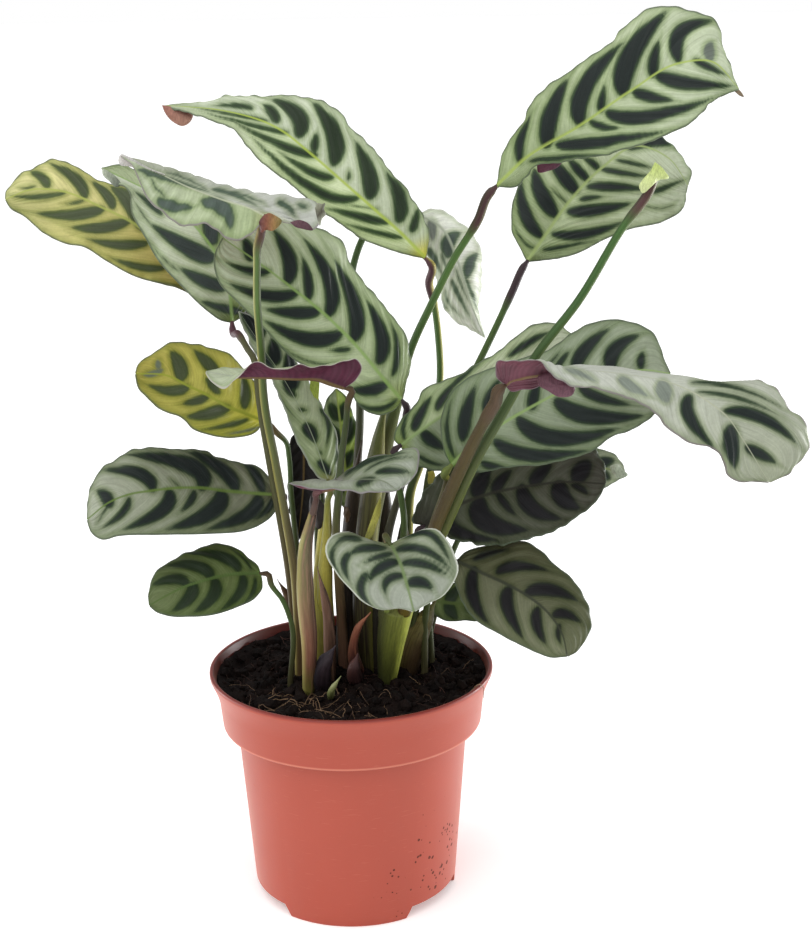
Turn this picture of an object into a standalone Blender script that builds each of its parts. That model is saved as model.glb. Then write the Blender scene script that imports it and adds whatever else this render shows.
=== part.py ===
# Potted ctenanthe: a patterned house plant in a 12 cm plastic nursery pot.
# Units inside the functions are millimetres; meshes are scaled to metres when they are made.
# X is the plant's right, Y goes back from the front view, Z is up.
# Places on the plant are read off one front view. A place is (across, down) on that view's
# sheet, in sheet units, and depth is how far behind the pot's axis it lies, in millimetres.

import math

import bmesh
import bpy
import numpy as np

MM = 0.001
GAP = 0.3                       # clear space between touching pieces

# Pot
RIM_RADIUS = 60.0
POT_HEIGHT = 100.0
WALL = 1.4
LIP_WIDTH = 2.2
COLLAR_RADIUS = 55.2            # at the collar's lower edge
COLLAR_BOTTOM = 76.4
BODY_TOP_RADIUS = 49.2          # just under the collar
FOOT_RADIUS = 43.3
FOOT_HEIGHT = 5.1
FOOT_WIDTH = 2.4                # of the foot ring, from outside to inside
FOOT_DRAFT = 0.3                # how much wider the foot ring is where it meets the floor
FOOT_EDGE = 0.7                 # rounding of the foot's outer edge
FOOT_COUNT = 3
FOOT_GAP_ANGLE = math.radians(46)
FIRST_GAP_ANGLE = math.radians(-36)     # from +X, the gap at the front right
FOOT_GAP_STEPS = 6
FLOOR_CLEARANCE = 0.4           # from the top of the foot gaps to the floor's underside
FLOOR_THICKNESS = 1.6
DRAIN_HOLE_RADIUS = 4.5
DRAIN_HOLE_CIRCLE = 27.0
DRAIN_HOLE_COUNT = 6
DRAIN_HOLE_SEGMENTS = 16
COLLAR_EDGE = 0.4               # rounding of the step under the collar
COLLAR_FLARE = [(56.2, 88.0), (57.3, 92.0), (58.7, 95.4)]   # outer radius and height, up to the lip
LIP_HEIGHT = 1.6
LIP_EDGE = 0.6                  # rounding of the lip's upper edges
POT_SEGMENTS = 48
SHARP_ANGLE = math.radians(35)  # edges of the pot above this angle stay sharp
CUT_PAST = 1.0                  # how far a cutter reaches past what it cuts

# Substrate
SOIL_TOP = 94.0
SOIL_CLEARANCE = 0.4            # from the pot's wall
SOIL_SEGMENTS = 32

# Leaves and stalks
BLADE_THICKNESS = 0.6
BLADE_ROWS = 11
BLADE_BULGE = 0.07              # rise of each half blade, as a share of its width
BLADE_START = 0.9               # from the end of the stalk to the blade's first row
BLADE_TIP_CUT = 0.6
SIDE_FADE = 0.12                # share of the blade at each end where its margins reach the midrib
STALK_SIDES = 6
STALK_RINGS = 11
STALK_TIP_RADIUS = 0.5
STALK_TIP_LENGTH = 3.0
SHOOT_SIDES = 8
SHOOT_RINGS = 8
DENSE = 160                     # samples along a smooth line before it is spaced evenly

# How far the crown spreads front to back: listed depths, and those of the margins behind their
# midribs, are multiplied by these
DEPTH_SPREAD = 1.5
SIDE_SPREAD = 1.2

# Front view: a perspective view of the pot's axis from in front and slightly above
VIEW_CENTRE = (406.0, 466.0)    # sheet units
VIEW_FOCAL = 1700.0             # sheet units
VIEW_DISTANCE = 675.0
VIEW_RISE = 373.0
VIEW_PITCH = 0.2693
VIEW_ROLL = -0.0147
VIEW_YAW = 0.0363

# Leaf blades. Each line goes from the stalk to the tip: the midrib with its depth, then the left
# and right margins as seen on the top side from the stalk. "sides" is how much deeper than the
# midrib the left and right margins lie, at the start, the middle and the end of the blade.
LEAVES = {
    "leaf_top_right": {
        "midrib": [(496, 187, -12), (523, 161, -14), (580, 126, -20), (631, 91, -25),
                   (677, 64, -28), (712, 62, -31), (739, 90, -35)],
        "left": [(505, 149), (515, 133), (540, 93), (570, 70), (606, 46), (629, 22), (667, 5),
                 (689, 10), (717, 23), (724, 45), (729, 66)],
        "right": [(515, 187), (536, 167), (570, 161), (609, 154), (652, 141), (689, 124),
                  (722, 96)],
        "sides": [(3, 8, 4), (-3, -14, -6)],
        "stalk": [(478, 220, -8), (454, 259, -3), (432, 303, 1), (411, 349, 5), (397, 400, 6),
                  (386, 440, 6), (378, 480, 6), (370, 520, 6), (366, 580, 7)],
        "foot": (8, 12), "radii": (4.4, 4.6, 4.2, 1.7, 1.5, 1.4),
    },
    "leaf_upper_right_back": {
        "midrib": [(527, 262, 16), (543, 239, 19), (570, 201, 24), (603, 167, 29),
                   (636, 146, 31), (668, 158, 28), (688, 186, 25)],
        "left": [(520, 248), (512, 232), (511, 215), (517, 190), (530, 165), (556, 142),
                 (600, 124), (645, 128), (679, 152), (691, 174)],
        "right": [(556, 259), (576, 254), (606, 239), (628, 230), (667, 220), (681, 211)],
        "sides": [(2, 6, 2), (-2, -10, -3)],
        "stalk": [(513, 290, 14), (497, 325, 13), (481, 358, 12), (460, 400, 11),
                  (440, 440, 11), (430, 472, 12), (424, 530, 14), (418, 590, 17)],
        "foot": (25, 23), "radii": (1.9, 1.8, 1.5, 1.3),
    },
    "leaf_top_left": {
        "midrib": [(426, 259, 5), (403, 235, 5), (376, 211, 5), (343, 182, 7), (312, 155, 9),
                   (277, 128, 12), (223, 111, 15), (183, 107, 17), (163, 106, 18)],
        "left": [(416, 257), (390, 250), (362, 239), (340, 224), (311, 203), (289, 183),
                 (264, 165), (246, 145), (233, 130), (196, 116)],
        "right": [(428, 249), (426, 221), (413, 199), (395, 176), (380, 157), (350, 125),
                  (340, 113), (314, 98), (281, 96), (228, 97), (203, 102)],
        "sides": [(-2, -10, -3), (3, 11, 3)],
        "stalk": [(429, 283, 9), (434, 303, 13), (438, 333, 15), (440, 379, 15), (432, 430, 15),
                  (420, 465, 16), (411, 490, 16), (408, 530, 16), (404, 590, 18)],
        "foot": (17, 21), "radii": (2.3, 2.2, 1.5, 1.3),
    },
    "leaf_hanging_back": {
        "midrib": [(418, 214, 30), (440, 226, 29), (458, 262, 30), (470, 300, 31),
                   (485, 338, 32)],
        "left": [(432, 209), (454, 217), (468, 229), (481, 250), (480, 290), (479, 313)],
        "right": [(416, 228), (425, 250), (440, 290), (446, 313), (463, 325)],
        "sides": [(2, 6, 2), (2, 6, 2)],
        "stalk": [(402, 206, 28), (380, 215, 24), (362, 240, 21), (354, 263, 20),
                  (354, 330, 18), (360, 411, 16), (357, 470, 16), (352, 531, 17),
                  (351, 600, 19)],
        "foot": (0, 23), "radii": (2.6, 1.9, 1.5, 1.3),
    },
    "leaf_left_large": {
        "midrib": [(402, 401, -14), (382, 377, -16), (359, 349, -18), (323, 313, -21),
                   (288, 285, -23), (263, 266, -24), (222, 238, -26)],
        "left": [(396, 409), (379, 415), (359, 406), (349, 387), (320, 374), (293, 359),
                 (266, 331), (238, 303), (218, 281), (214, 256)],
        "right": [(405, 388), (411, 366), (407, 341), (399, 324), (382, 303), (359, 276),
                  (349, 258), (340, 240), (321, 229), (300, 222), (265, 213), (238, 220)],
        "sides": [(-2, -7, -3), (2, 9, 3)],
        "stalk": [(406, 417, -11), (410, 440, -7), (406, 470, -5), (399, 495, -4),
                  (389, 530, -3), (383, 570, -1), (378, 610, 2)],
        "foot": (11, 5), "radii": (2.4, 2.3, 1.4, 1.2),
    },
    "leaf_left_folded": {
        "midrib": [(266, 217, -46), (250, 208, -44), (223, 200, -41), (190, 188, -39),
                   (160, 174, -38), (120, 156, -38)],
        "left": [(257, 229), (247, 238), (234, 241), (223, 234), (203, 224), (184, 227),
                 (161, 211), (140, 186), (133, 168)],
        "right": [(283, 222), (302, 227), (322, 229), (325, 213), (316, 203), (297, 203),
                  (272, 197), (240, 191), (205, 181), (170, 170), (142, 162)],
        "sides": [(-3, -14, -4), (6, 17, 5)],
        "stalk": [(262, 226, -46.5), (261, 233, -46), (257, 250, -45.5), (257, 261, -45),
                  (257, 299, -43), (261, 349, -39), (264, 399, -35), (275, 460, -29),
                  (286, 520, -22), (294, 569, -14), (298, 619, -6)],
        "foot": (-22, 0), "radii": (2.0, 1.3),
    },
    "leaf_left_inner": {
        "midrib": [(232, 323, 0), (229, 290, 2), (222, 262, 4), (213, 249, 5), (194, 225, 6),
                   (160, 197, 7), (130, 182, 7), (101, 168, 6)],
        "left": [(222, 321), (207, 311), (182, 287), (159, 262), (144, 236), (132, 214),
                 (129, 193), (110, 180)],
        "right": [(240, 318), (250, 290), (248, 262), (235, 236), (212, 208), (180, 185),
                  (140, 170), (120, 165)],
        "sides": [(-2, -8, -2), (3, 9, 3)],
        "stalk": [(238, 334, -8), (247, 348, -18), (255, 363, -27), (259, 399, -28),
                  (269, 460, -23), (280, 520, -15), (288, 569, -7), (293, 619, 3)],
        "foot": (-24.5, 8), "radii": (1.5, 1.2),
    },
    "leaf_far_left": {
        "midrib": [(215, 290, 18), (170, 255, 18), (133, 223, 20), (103, 208, 22),
                   (61, 191, 24), (30, 190, 24), (5, 200, 22)],
        "left": [(212, 297), (195, 295), (176, 288), (157, 283), (136, 277), (106, 261),
                 (83, 247), (66, 244), (45, 234), (23, 216), (10, 208)],
        "right": [(222, 278), (208, 248), (180, 215), (145, 192), (100, 180), (73, 166),
                  (53, 158), (38, 166), (25, 172), (14, 181), (6, 190)],
        "sides": [(-2, -8, -2), (2, 8, 3)],
        "stalk": [(235, 302, 17), (262, 322, 18), (290, 360, 20), (310, 400, 22),
                  (318, 450, 24), (323, 520, 25), (326, 600, 28)],
        "foot": (-9, 31), "radii": (1.6, 1.2),
    },
    "leaf_mid_left_yellow": {
        "midrib": [(262, 421, -2), (246, 414, -4), (226, 406, -7), (209, 396, -10),
                   (188, 386, -13), (168, 376, -16), (135, 374, -22)],
        "left": [(259, 429), (234, 438), (209, 435), (193, 429), (183, 419), (163, 411),
                 (147, 398), (137, 386)],
        "right": [(264, 408), (264, 395), (252, 378), (234, 358), (201, 345), (176, 342),
                  (153, 353), (138, 364)],
        "sides": [(-2, -8, -3), (2, 10, 3)],
        "stalk": [(277, 433, 0), (286, 442, 2), (289, 457, 4), (291, 490, 7), (296, 540, 12),
                  (304, 600, 16)],
        "foot": (-15, 25), "radii": (1.4, 1.0),
    },
    "leaf_low_left": {
        "midrib": [(276, 495, -8), (226, 491, -11), (201, 488, -14), (176, 488, -17),
                   (150, 491, -21), (131, 494, -24), (110, 502, -28), (87, 520, -33)],
        "left": [(275, 512), (262, 524), (248, 530), (209, 534), (159, 535), (115, 537),
                 (103, 540), (90, 531)],
        "right": [(276, 481), (269, 476), (254, 466), (226, 459), (201, 451), (166, 448),
                  (130, 451), (110, 462), (93, 482), (87, 502)],
        "sides": [(-2, -8, -3), (3, 12, 3)],
        "stalk": [(283, 502, -5), (287, 530, 1), (293, 570, 6), (299, 610, 12)],
        "foot": (-17, 18), "radii": (1.4, 1.1),
    },
    "leaf_small_low_left": {
        "midrib": [(261, 574, -10), (239, 574, -12), (221, 576, -14), (206, 580, -17),
                   (184, 587, -20), (166, 596, -23), (149, 606, -26)],
        "left": [(263, 587), (254, 599), (238, 607), (213, 615), (186, 617), (168, 616),
                 (156, 612)],
        "right": [(258, 566), (252, 561), (239, 549), (226, 544), (204, 547), (183, 554),
                  (163, 566), (152, 580), (148, 594)],
        "sides": [(-2, -6, -2), (2, 9, 3)],
        "stalk": [(271, 584, -10), (282, 599, -10), (290, 618, -9)],
        "foot": (-26, -8), "radii": (1.2, 1.0),
    },
    "leaf_folded_front": {
        "midrib": [(345, 388, -41), (333, 384, -42), (318, 379, -43), (292, 378, -45),
                   (263, 377, -46), (240, 377, -47), (205, 372, -48)],
        "left": [(356, 380), (363, 364), (352, 356), (332, 360), (310, 364), (283, 367),
                 (262, 366), (243, 375), (222, 388), (210, 380)],
        "right": [(354, 378), (358, 366), (345, 362), (328, 365), (307, 368), (283, 370),
                  (258, 368), (235, 369), (218, 369)],
        "sides": [(-2, -8, -5), (4, 9, 4)],
        "stalk": [(344, 400, -40), (343, 430, -36), (341, 460, -31), (339, 490, -25),
                  (336, 530, -15), (339, 580, -3), (342, 625, 6)],
        "foot": (-3, 10), "radii": (2.4, 1.0),
    },
    "leaf_narrow_silver": {
        "midrib": [(328, 481, -13), (322, 462, -11), (312, 435, -9), (298, 405, -6),
                   (283, 378, -5), (262, 347, -5), (238, 311, -6)],
        "left": [(320, 479), (312, 470), (303, 453), (292, 431), (283, 405), (271, 380),
                 (259, 360), (247, 338)],
        "right": [(333, 480), (338, 465), (338, 445), (333, 425), (322, 405), (308, 380),
                  (296, 358), (274, 333), (252, 316)],
        "sides": [(-2, -5, -2), (3, 6, 2)],
        "stalk": [(328, 500, -10), (326, 540, -5), (325, 590, 1), (327, 630, 6)],
        "foot": (-10, 10), "radii": (2.4, 3.4, 3.2, 1.3, 1.1),
    },
    "leaf_twisted_front": {
        "midrib": [(322, 491, -40), (342, 485, -45), (366, 480, -51), (384, 482, -56),
                   (397, 491, -60)],
        "left": [(318, 485), (333, 481), (356, 466), (373, 457), (393, 452), (418, 451),
                 (419, 463), (410, 482)],
        "right": [(306, 490), (288, 482), (300, 486), (317, 490), (338, 490), (366, 492),
                  (384, 493)],
        "sides": [(2, 7, 2), (-3, -9, -3)],
        "stalk": [(316, 500, -35)],
        "seat": ("left_sheath", 0.0, 0.0), "radii": (1.4, 1.0),
    },
    "leaf_front_heart": {
        "midrib": [(390, 544, -56), (399, 561, -60), (407, 585, -64), (414, 612, -65)],
        "left": [(403, 538), (423, 529), (438, 529), (446, 538), (454, 553), (458, 568),
                 (453, 583), (441, 596), (426, 605)],
        "right": [(384, 543), (366, 539), (346, 533), (330, 538), (326, 548), (327, 558),
                  (335, 573), (350, 589), (363, 602), (378, 610), (399, 608)],
        "sides": [(3, 4, 1), (3, 6, 1)],
        "stalk": [(391, 555, -45), (392, 575, -31)],
        "seat": ("large_sheath", -4.0, -4.2), "radii": (1.3, 1.0),
    },
    "leaf_right_inner": {
        "midrib": [(400, 446, -20), (420, 431, -20), (440, 417, -18), (480, 393, -15),
                   (530, 366, -9), (583, 350, -2)],
        "left": [(394, 440), (398, 426), (413, 406), (426, 388), (446, 380), (473, 366),
                 (493, 355), (516, 336), (534, 325), (552, 322), (572, 334)],
        "right": [(408, 457), (420, 467), (444, 470), (480, 455), (520, 430), (560, 396),
                  (582, 368)],
        "sides": [(2, 7, 2), (1, 1, 1)],
        "stalk": [(399, 458, -18), (399, 480, -15), (404, 520, -10), (399, 570, -2)],
        "foot": (15, 11), "radii": (1.7, 1.2),
    },
    "leaf_right_middle": {
        "midrib": [(451, 466, -32), (468, 448, -32), (505, 422, -33), (533, 406, -33),
                   (558, 393, -33), (580, 384, -34), (610, 376, -35), (645, 370, -37),
                   (671, 374, -39)],
        "left": [(444, 449), (441, 416), (451, 393), (473, 375), (510, 362), (546, 350),
                 (562, 340), (587, 325), (615, 319), (640, 325), (658, 340), (664, 358)],
        "right": [(463, 472), (478, 472), (513, 467), (540, 465), (566, 460), (592, 451),
                  (609, 439), (637, 427), (656, 413), (670, 393)],
        "sides": [(2, 7, 2), (-1, -5, -3)],
        "stalk": [(447, 480, -27), (436, 515, -21), (420, 555, -15)],
        "seat": ("large_sheath", -3.0, 4.5), "radii": (1.6, 1.3),
    },
    "leaf_right_drooping": {
        "midrib": [(505, 385, -56), (521, 378, -57), (547, 373, -58), (590, 371, -59),
                   (630, 375, -60), (668, 382, -61), (690, 391, -61), (710, 403, -62),
                   (728, 418, -62), (741, 437, -62), (753, 456, -61), (769, 483, -60)],
        "left": [(510, 391), (525, 389), (545, 383), (560, 372), (575, 367), (609, 369),
                 (637, 373), (672, 380), (696, 382), (731, 384), (762, 382), (778, 390),
                 (790, 408), (807, 428), (810, 444), (800, 463), (783, 476)],
        "right": [(497, 378), (497, 364), (515, 360), (536, 361), (550, 373), (565, 383),
                  (580, 387), (609, 392), (637, 402), (656, 415), (670, 430), (687, 442),
                  (719, 453), (723, 461), (726, 474), (739, 482), (753, 482)],
        "sides": [(5, 13, 5), (-6, -10, -4)],
        "stalk": [(499, 397, -54), (490, 411, -52), (463, 464, -43), (440, 516, -33),
                  (424, 556, -24)],
        "seat": ("large_sheath", 3.0, -3.6), "radii": (2.8, 2.6, 2.4, 1.8),
    },
    "leaf_low_right_dark": {
        "midrib": [(424, 526, -12), (440, 514, -14), (473, 499, -17), (496, 492, -18),
                   (529, 486, -19), (562, 482, -20), (606, 484, -23)],
        "left": [(414, 522), (420, 499), (443, 471), (470, 458), (500, 448), (540, 440),
                 (575, 438), (594, 447), (602, 459), (606, 472)],
        "right": [(434, 534), (450, 538), (488, 546), (521, 541), (554, 531), (579, 516),
                  (599, 498)],
        "sides": [(2, 8, 3), (-1, -5, -2)],
        "stalk": [(418, 536, -9), (416, 560, -6), (416, 600, -1)],
        "foot": (24, 3), "radii": (1.6, 1.2),
    },
    "leaf_low_right_hidden": {
        "midrib": [(500, 492, 10), (530, 482, 13), (570, 474, 17), (600, 468, 20), (626, 474, 22)],
        "left": [(506, 474), (530, 460), (560, 450), (590, 446), (606, 450), (620, 460)],
        "right": [(510, 506), (535, 512), (570, 506), (600, 490), (616, 482)],
        "sides": [(2, 6, 2), (-1, -4, -1)],
        "stalk": [(480, 505, 8), (458, 540, 8), (444, 580, 10), (432, 625, 15)],
        "foot": (32, 22), "radii": (1.4, 1.1),
    },
    "leaf_low_right": {
        "midrib": [(456, 561, -18), (482, 573, -21), (506, 584, -25), (529, 597, -29),
                   (549, 614, -33), (562, 634, -37), (567, 657, -39)],
        "left": [(466, 551), (485, 546), (509, 543), (524, 541), (539, 548), (551, 562),
                 (568, 575), (583, 593), (590, 612), (588, 635), (578, 651)],
        "right": [(453, 575), (458, 593), (466, 609), (478, 622), (499, 634), (524, 647),
                  (549, 657)],
        "sides": [(2, 7, 2), (-1, -4, -1)],
        "stalk": [(444, 564, -14), (434, 580, -9), (427, 605, -3)],
        "foot": (31, 0), "radii": (1.5, 1.2),
    },
    "leaf_small_rim": {
        "midrib": [(432, 600, 4), (450, 603, 5), (478, 603, 6), (508, 601, 8)],
        "left": [(436, 590), (455, 583), (480, 584), (500, 592)],
        "right": [(433, 613), (446, 621), (462, 621), (480, 620), (498, 610)],
        "sides": [(1, 3, 1), (-1, -2, -1)],
        "stalk": [(428, 612, 5)],
        "foot": (35, 8), "radii": (1.3, 1.0),
    },
    "leaf_centre_dark": {
        "midrib": [(304, 430, 18), (304, 456, 17), (303, 490, 16), (300, 520, 15), (297, 543, 14)],
        "left": [(294, 434), (288, 460), (288, 490), (291, 517), (294, 534)],
        "right": [(314, 436), (320, 462), (320, 492), (312, 520), (302, 536)],
        "sides": [(-1, -3, -1), (-1, -3, -1)],
        "stalk": [(308, 424, 19), (314, 430, 20), (318, 460, 21), (317, 530, 22),
                  (318, 600, 23)],
        "foot": (-13, 31), "radii": (1.4, 1.0),
    },
    "leaf_centre_lit": {
        "midrib": [(348, 512, 28), (345, 470, 29), (341, 430, 30), (336, 388, 32)],
        "left": [(337, 500), (327, 470), (321, 440), (323, 412), (329, 396)],
        "right": [(355, 500), (358, 470), (358, 440), (352, 410), (344, 394)],
        "sides": [(0, 2, 0), (0, 2, 0)],
        "stalk": [(349, 530, 28), (345, 570, 28), (341, 610, 27)],
        "foot": (-5, 35), "radii": (1.3, 1.0),
    },
}

# A stalk whose blade is gone: only a short pale stub is left at its top.
BARE_STALK = {
    "points": [(657, 166, -42), (651, 187, -42), (623, 227, -43), (579, 300, -45),
               (536, 356, -48), (504, 411, -48), (474, 464, -40), (450, 516, -30),
               (432, 556, -21)],
    "seat": ("large_sheath", 5.2, 1.8), "radii": (2.3, 2.1, 1.6, 1.4),
}

# Sheaths and shoots at the base: radii from the soil up, as shares of their height
SHOOTS = {
    "left_sheath": {"foot": (-20, -14), "points": [(306, 640, -18), (305, 590, -23),
                                                  (307, 545, -28), (312, 513, -32)],
                    "radii": [3.0, 4.4, 4.6, 4.0, 3.0, 1.8]},
    "large_sheath": {"foot": (17, -5), "points": [(396, 640, -8), (404, 605, -12)],
                     "radii": [6.5, 8.4, 8.6, 8.2]},
    "right_sheath": {"foot": (29, 11), "points": [(418, 640, 10), (426, 616, 9)],
                     "radii": [4.6, 4.8, 3.4, 1.6]},
    "thin_sheath": {"foot": (-9, -1), "points": [(328, 610, -6), (317, 566, -10)],
                    "radii": [3.0, 3.2, 2.2, 0.6]},
    "purple_sprout": {"foot": (-13, -12), "points": [(328, 664, -14), (338, 645, -15)],
                      "radii": [3.8, 4.4, 3.4, 0.8]},
    "red_shoot": {"foot": (5, 2), "points": [(358, 646, -2), (372, 614, -6)],
                  "radii": [4.6, 4.8, 2.8, 0.7]},
    "green_sprout": {"foot": (-9, -23), "points": [(334, 686, -23), (341, 676, -24)],
                     "radii": [1.6, 2.0, 1.6, 0.6]},
    "brown_bract": {"foot": (-24, 14), "points": [(297, 630, 8), (292, 605, 5), (277, 579, -1)],
                    "radii": [1.2, 1.5, 2.0, 0.5]},
}

COLOURS = {
    "pot": ((0.70, 0.20, 0.11), 0.42),
    "soil": ((0.035, 0.02, 0.013), 0.95),
    "blade": ((0.30, 0.42, 0.24), 0.45),
    "dark_blade": ((0.10, 0.14, 0.07), 0.5),
    "yellow_blade": ((0.42, 0.44, 0.16), 0.45),
    "purple_blade": ((0.16, 0.03, 0.06), 0.5),
    "stalk": ((0.10, 0.20, 0.04), 0.45),
    "sheath": ((0.32, 0.34, 0.12), 0.5),
    "shoot": ((0.30, 0.09, 0.06), 0.5),
    "purple_shoot": ((0.05, 0.02, 0.035), 0.5),
}

BLADE_LOOKS = {
    "leaf_low_right_dark": "dark_blade",
    "leaf_centre_dark": "dark_blade",
    "leaf_mid_left_yellow": "yellow_blade",
    "leaf_far_left": "yellow_blade",
    "leaf_folded_front": "purple_blade",
}
SHOOT_LOOKS = {
    "purple_sprout": "purple_shoot",
    "red_shoot": "shoot",
    "brown_bract": "shoot",
}


def unit(vector):
    return vector / np.linalg.norm(vector)


def view_frame():
    """The view's place and its right, up and forward directions."""
    place = np.array([0.0, -VIEW_DISTANCE, VIEW_RISE])
    forward = np.array([math.sin(VIEW_YAW) * math.cos(VIEW_PITCH),
                        math.cos(VIEW_YAW) * math.cos(VIEW_PITCH), -math.sin(VIEW_PITCH)])
    level = np.array([math.cos(VIEW_YAW), -math.sin(VIEW_YAW), 0.0])
    rise = np.cross(level, forward)
    right = level * math.cos(VIEW_ROLL) + rise * math.sin(VIEW_ROLL)
    up = rise * math.cos(VIEW_ROLL) - level * math.sin(VIEW_ROLL)
    return place, right, up, forward


VIEW_PLACE, VIEW_RIGHT, VIEW_UP, VIEW_FORWARD = view_frame()


def in_space(places):
    """The points in mm that rows of (across, down, depth) on the view's sheet stand for."""
    places = np.asarray(places, float)
    across = (places[:, 0:1] - VIEW_CENTRE[0]) / VIEW_FOCAL
    down = (places[:, 1:2] - VIEW_CENTRE[1]) / VIEW_FOCAL
    ray = VIEW_FORWARD + across * VIEW_RIGHT - down * VIEW_UP
    reach = (places[:, 2:3] * DEPTH_SPREAD - VIEW_PLACE[1]) / ray[:, 1:2]
    return VIEW_PLACE + ray * reach


def smooth_line(points, shares):
    """Points at the given shares of the length of a smooth curve through the given points."""
    points = np.asarray(points, float)
    steps = np.linalg.norm(np.diff(points, axis=0), axis=1)
    knots = np.concatenate([[0.0], np.cumsum(steps)])
    slopes = np.diff(points, axis=0) / steps[:, None]
    before, after = steps[:-1, None], steps[1:, None]
    inner = (slopes[:-1] * after + slopes[1:] * before) / (before + after)
    tangents = np.vstack([slopes[:1], inner, slopes[-1:]])
    at = np.linspace(0.0, knots[-1], DENSE)
    span = np.clip(np.searchsorted(knots, at, side="right") - 1, 0, len(steps) - 1)
    width = steps[span][:, None]
    u = (at - knots[span])[:, None] / width
    line = ((2 * u**3 - 3 * u**2 + 1) * points[span] + (u**3 - 2 * u**2 + u) * width * tangents[span]
            + (3 * u**2 - 2 * u**3) * points[span + 1] + (u**3 - u**2) * width * tangents[span + 1])
    walked = np.concatenate([[0.0], np.cumsum(np.linalg.norm(np.diff(line, axis=0), axis=1))])
    wanted = np.asarray(shares) * walked[-1]
    return np.stack([np.interp(wanted, walked, line[:, k]) for k in range(line.shape[1])], axis=1)


def line_length(points):
    return float(np.sum(np.linalg.norm(np.diff(points, axis=0), axis=1)))


def side_depth(values, shares):
    """Depth of a margin behind the midrib, a parabola that fades out at both ends."""
    first, middle, last = values
    along = (first * (1 - shares) * (1 - 2 * shares) + middle * 4 * shares * (1 - shares)
             + last * shares * (2 * shares - 1))
    at_base = np.sqrt(np.clip(shares / SIDE_FADE, 0, 1))
    at_tip = np.sqrt(np.clip((1 - shares) / SIDE_FADE, 0, 1))
    return along * at_base * at_tip


def blade_grid(leaf):
    """Rows of five points across the blade, from its left margin to its right one."""
    midrib = leaf["midrib"]
    base, tip = midrib[0][:2], midrib[-1][:2]
    length = line_length(in_space(smooth_line(midrib, np.linspace(0, 1, DENSE))))
    spread = (1 - np.cos(np.linspace(0, math.pi, BLADE_ROWS))) / 2
    first, last = BLADE_START / length, 1 - BLADE_TIP_CUT / length
    shares = first + (last - first) * spread
    middle = smooth_line(midrib, shares)
    margins = []
    for side, depths in zip(("left", "right"), leaf["sides"]):
        flat = smooth_line([base] + leaf[side] + [tip], shares)
        depth = middle[:, 2] + side_depth(depths, shares) * SIDE_SPREAD / DEPTH_SPREAD
        margins.append(in_space(np.column_stack([flat, depth])))
    left, right = margins
    rib = in_space(middle)
    rise = np.cross(right - left, np.gradient(rib, axis=0))
    rise /= np.linalg.norm(rise, axis=1)[:, None]
    half_left = (left + rib) / 2 + rise * BLADE_BULGE * np.linalg.norm(left - rib, axis=1)[:, None]
    half_right = (right + rib) / 2 + rise * BLADE_BULGE * np.linalg.norm(right - rib, axis=1)[:, None]
    return np.stack([left, half_left, rib, half_right, right], axis=1)


def make_object(name, mesh_maker, look):
    """A Blender object from a bmesh in mm, closed, faces outward, with its own material."""
    bm = bmesh.new()
    mesh_maker(bm)
    bmesh.ops.triangulate(bm, faces=[face for face in bm.faces if len(face.verts) > 3])
    bmesh.ops.recalc_face_normals(bm, faces=bm.faces)
    bmesh.ops.scale(bm, vec=(MM, MM, MM), verts=bm.verts)
    mesh = bpy.data.meshes.new(name)
    bm.to_mesh(mesh)
    bm.free()
    mesh.shade_smooth()
    obj = bpy.data.objects.new(name, mesh)
    bpy.context.collection.objects.link(obj)
    colour, roughness = COLOURS[look]
    material = bpy.data.materials.new(name)
    material.use_nodes = True
    surface = material.node_tree.nodes["Principled BSDF"]
    surface.inputs["Base Color"].default_value = (*colour, 1.0)
    surface.inputs["Roughness"].default_value = roughness
    surface.inputs["Metallic"].default_value = 0.0
    mesh.materials.append(material)
    return obj


def sheet(bm, grid, thickness):
    """A thin closed solid on both sides of a grid of points."""
    rows, columns = grid.shape[:2]
    normal = np.cross(np.gradient(grid, axis=1), np.gradient(grid, axis=0))
    normal /= np.linalg.norm(normal, axis=2)[:, :, None]
    faces_of = []
    for side in (0.5, -0.5):
        places = grid + normal * side * thickness
        faces_of.append([[bm.verts.new(places[i, j]) for j in range(columns)] for i in range(rows)])
    top, bottom = faces_of
    for i in range(rows - 1):
        for j in range(columns - 1):
            bm.faces.new((top[i][j], top[i][j + 1], top[i + 1][j + 1], top[i + 1][j]))
            bm.faces.new((bottom[i][j], bottom[i + 1][j], bottom[i + 1][j + 1], bottom[i][j + 1]))
    rim = [(i, 0) for i in range(rows)] + [(rows - 1, j) for j in range(1, columns)]
    rim += [(i, columns - 1) for i in range(rows - 2, -1, -1)]
    rim += [(0, j) for j in range(columns - 2, 0, -1)]
    for (i, j), (k, m) in zip(rim, rim[1:] + rim[:1]):
        bm.faces.new((top[i][j], top[k][m], bottom[k][m], bottom[i][j]))


def tube(bm, path, radii, sides, seat_normal):
    """A closed round bar along a path, its first end lying in the seat's plane."""
    tangents = np.gradient(path, axis=0)
    tangents /= np.linalg.norm(tangents, axis=1)[:, None]
    tangents[0] = seat_normal
    across = np.array([1.0, 0.0, 0.0])
    rings = []
    for place, tangent, radius in zip(path, tangents, radii):
        across = unit(across - tangent * np.dot(across, tangent))
        beside = np.cross(tangent, across)
        angles = [2 * math.pi * k / sides for k in range(sides)]
        rings.append([bm.verts.new(place + radius * (math.cos(a) * across + math.sin(a) * beside))
                      for a in angles])
    for low, high in zip(rings, rings[1:]):
        for k in range(sides):
            bm.faces.new((low[k], low[(k + 1) % sides], high[(k + 1) % sides], high[k]))
    bm.faces.new(rings[0])
    bm.faces.new(rings[-1])


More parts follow.
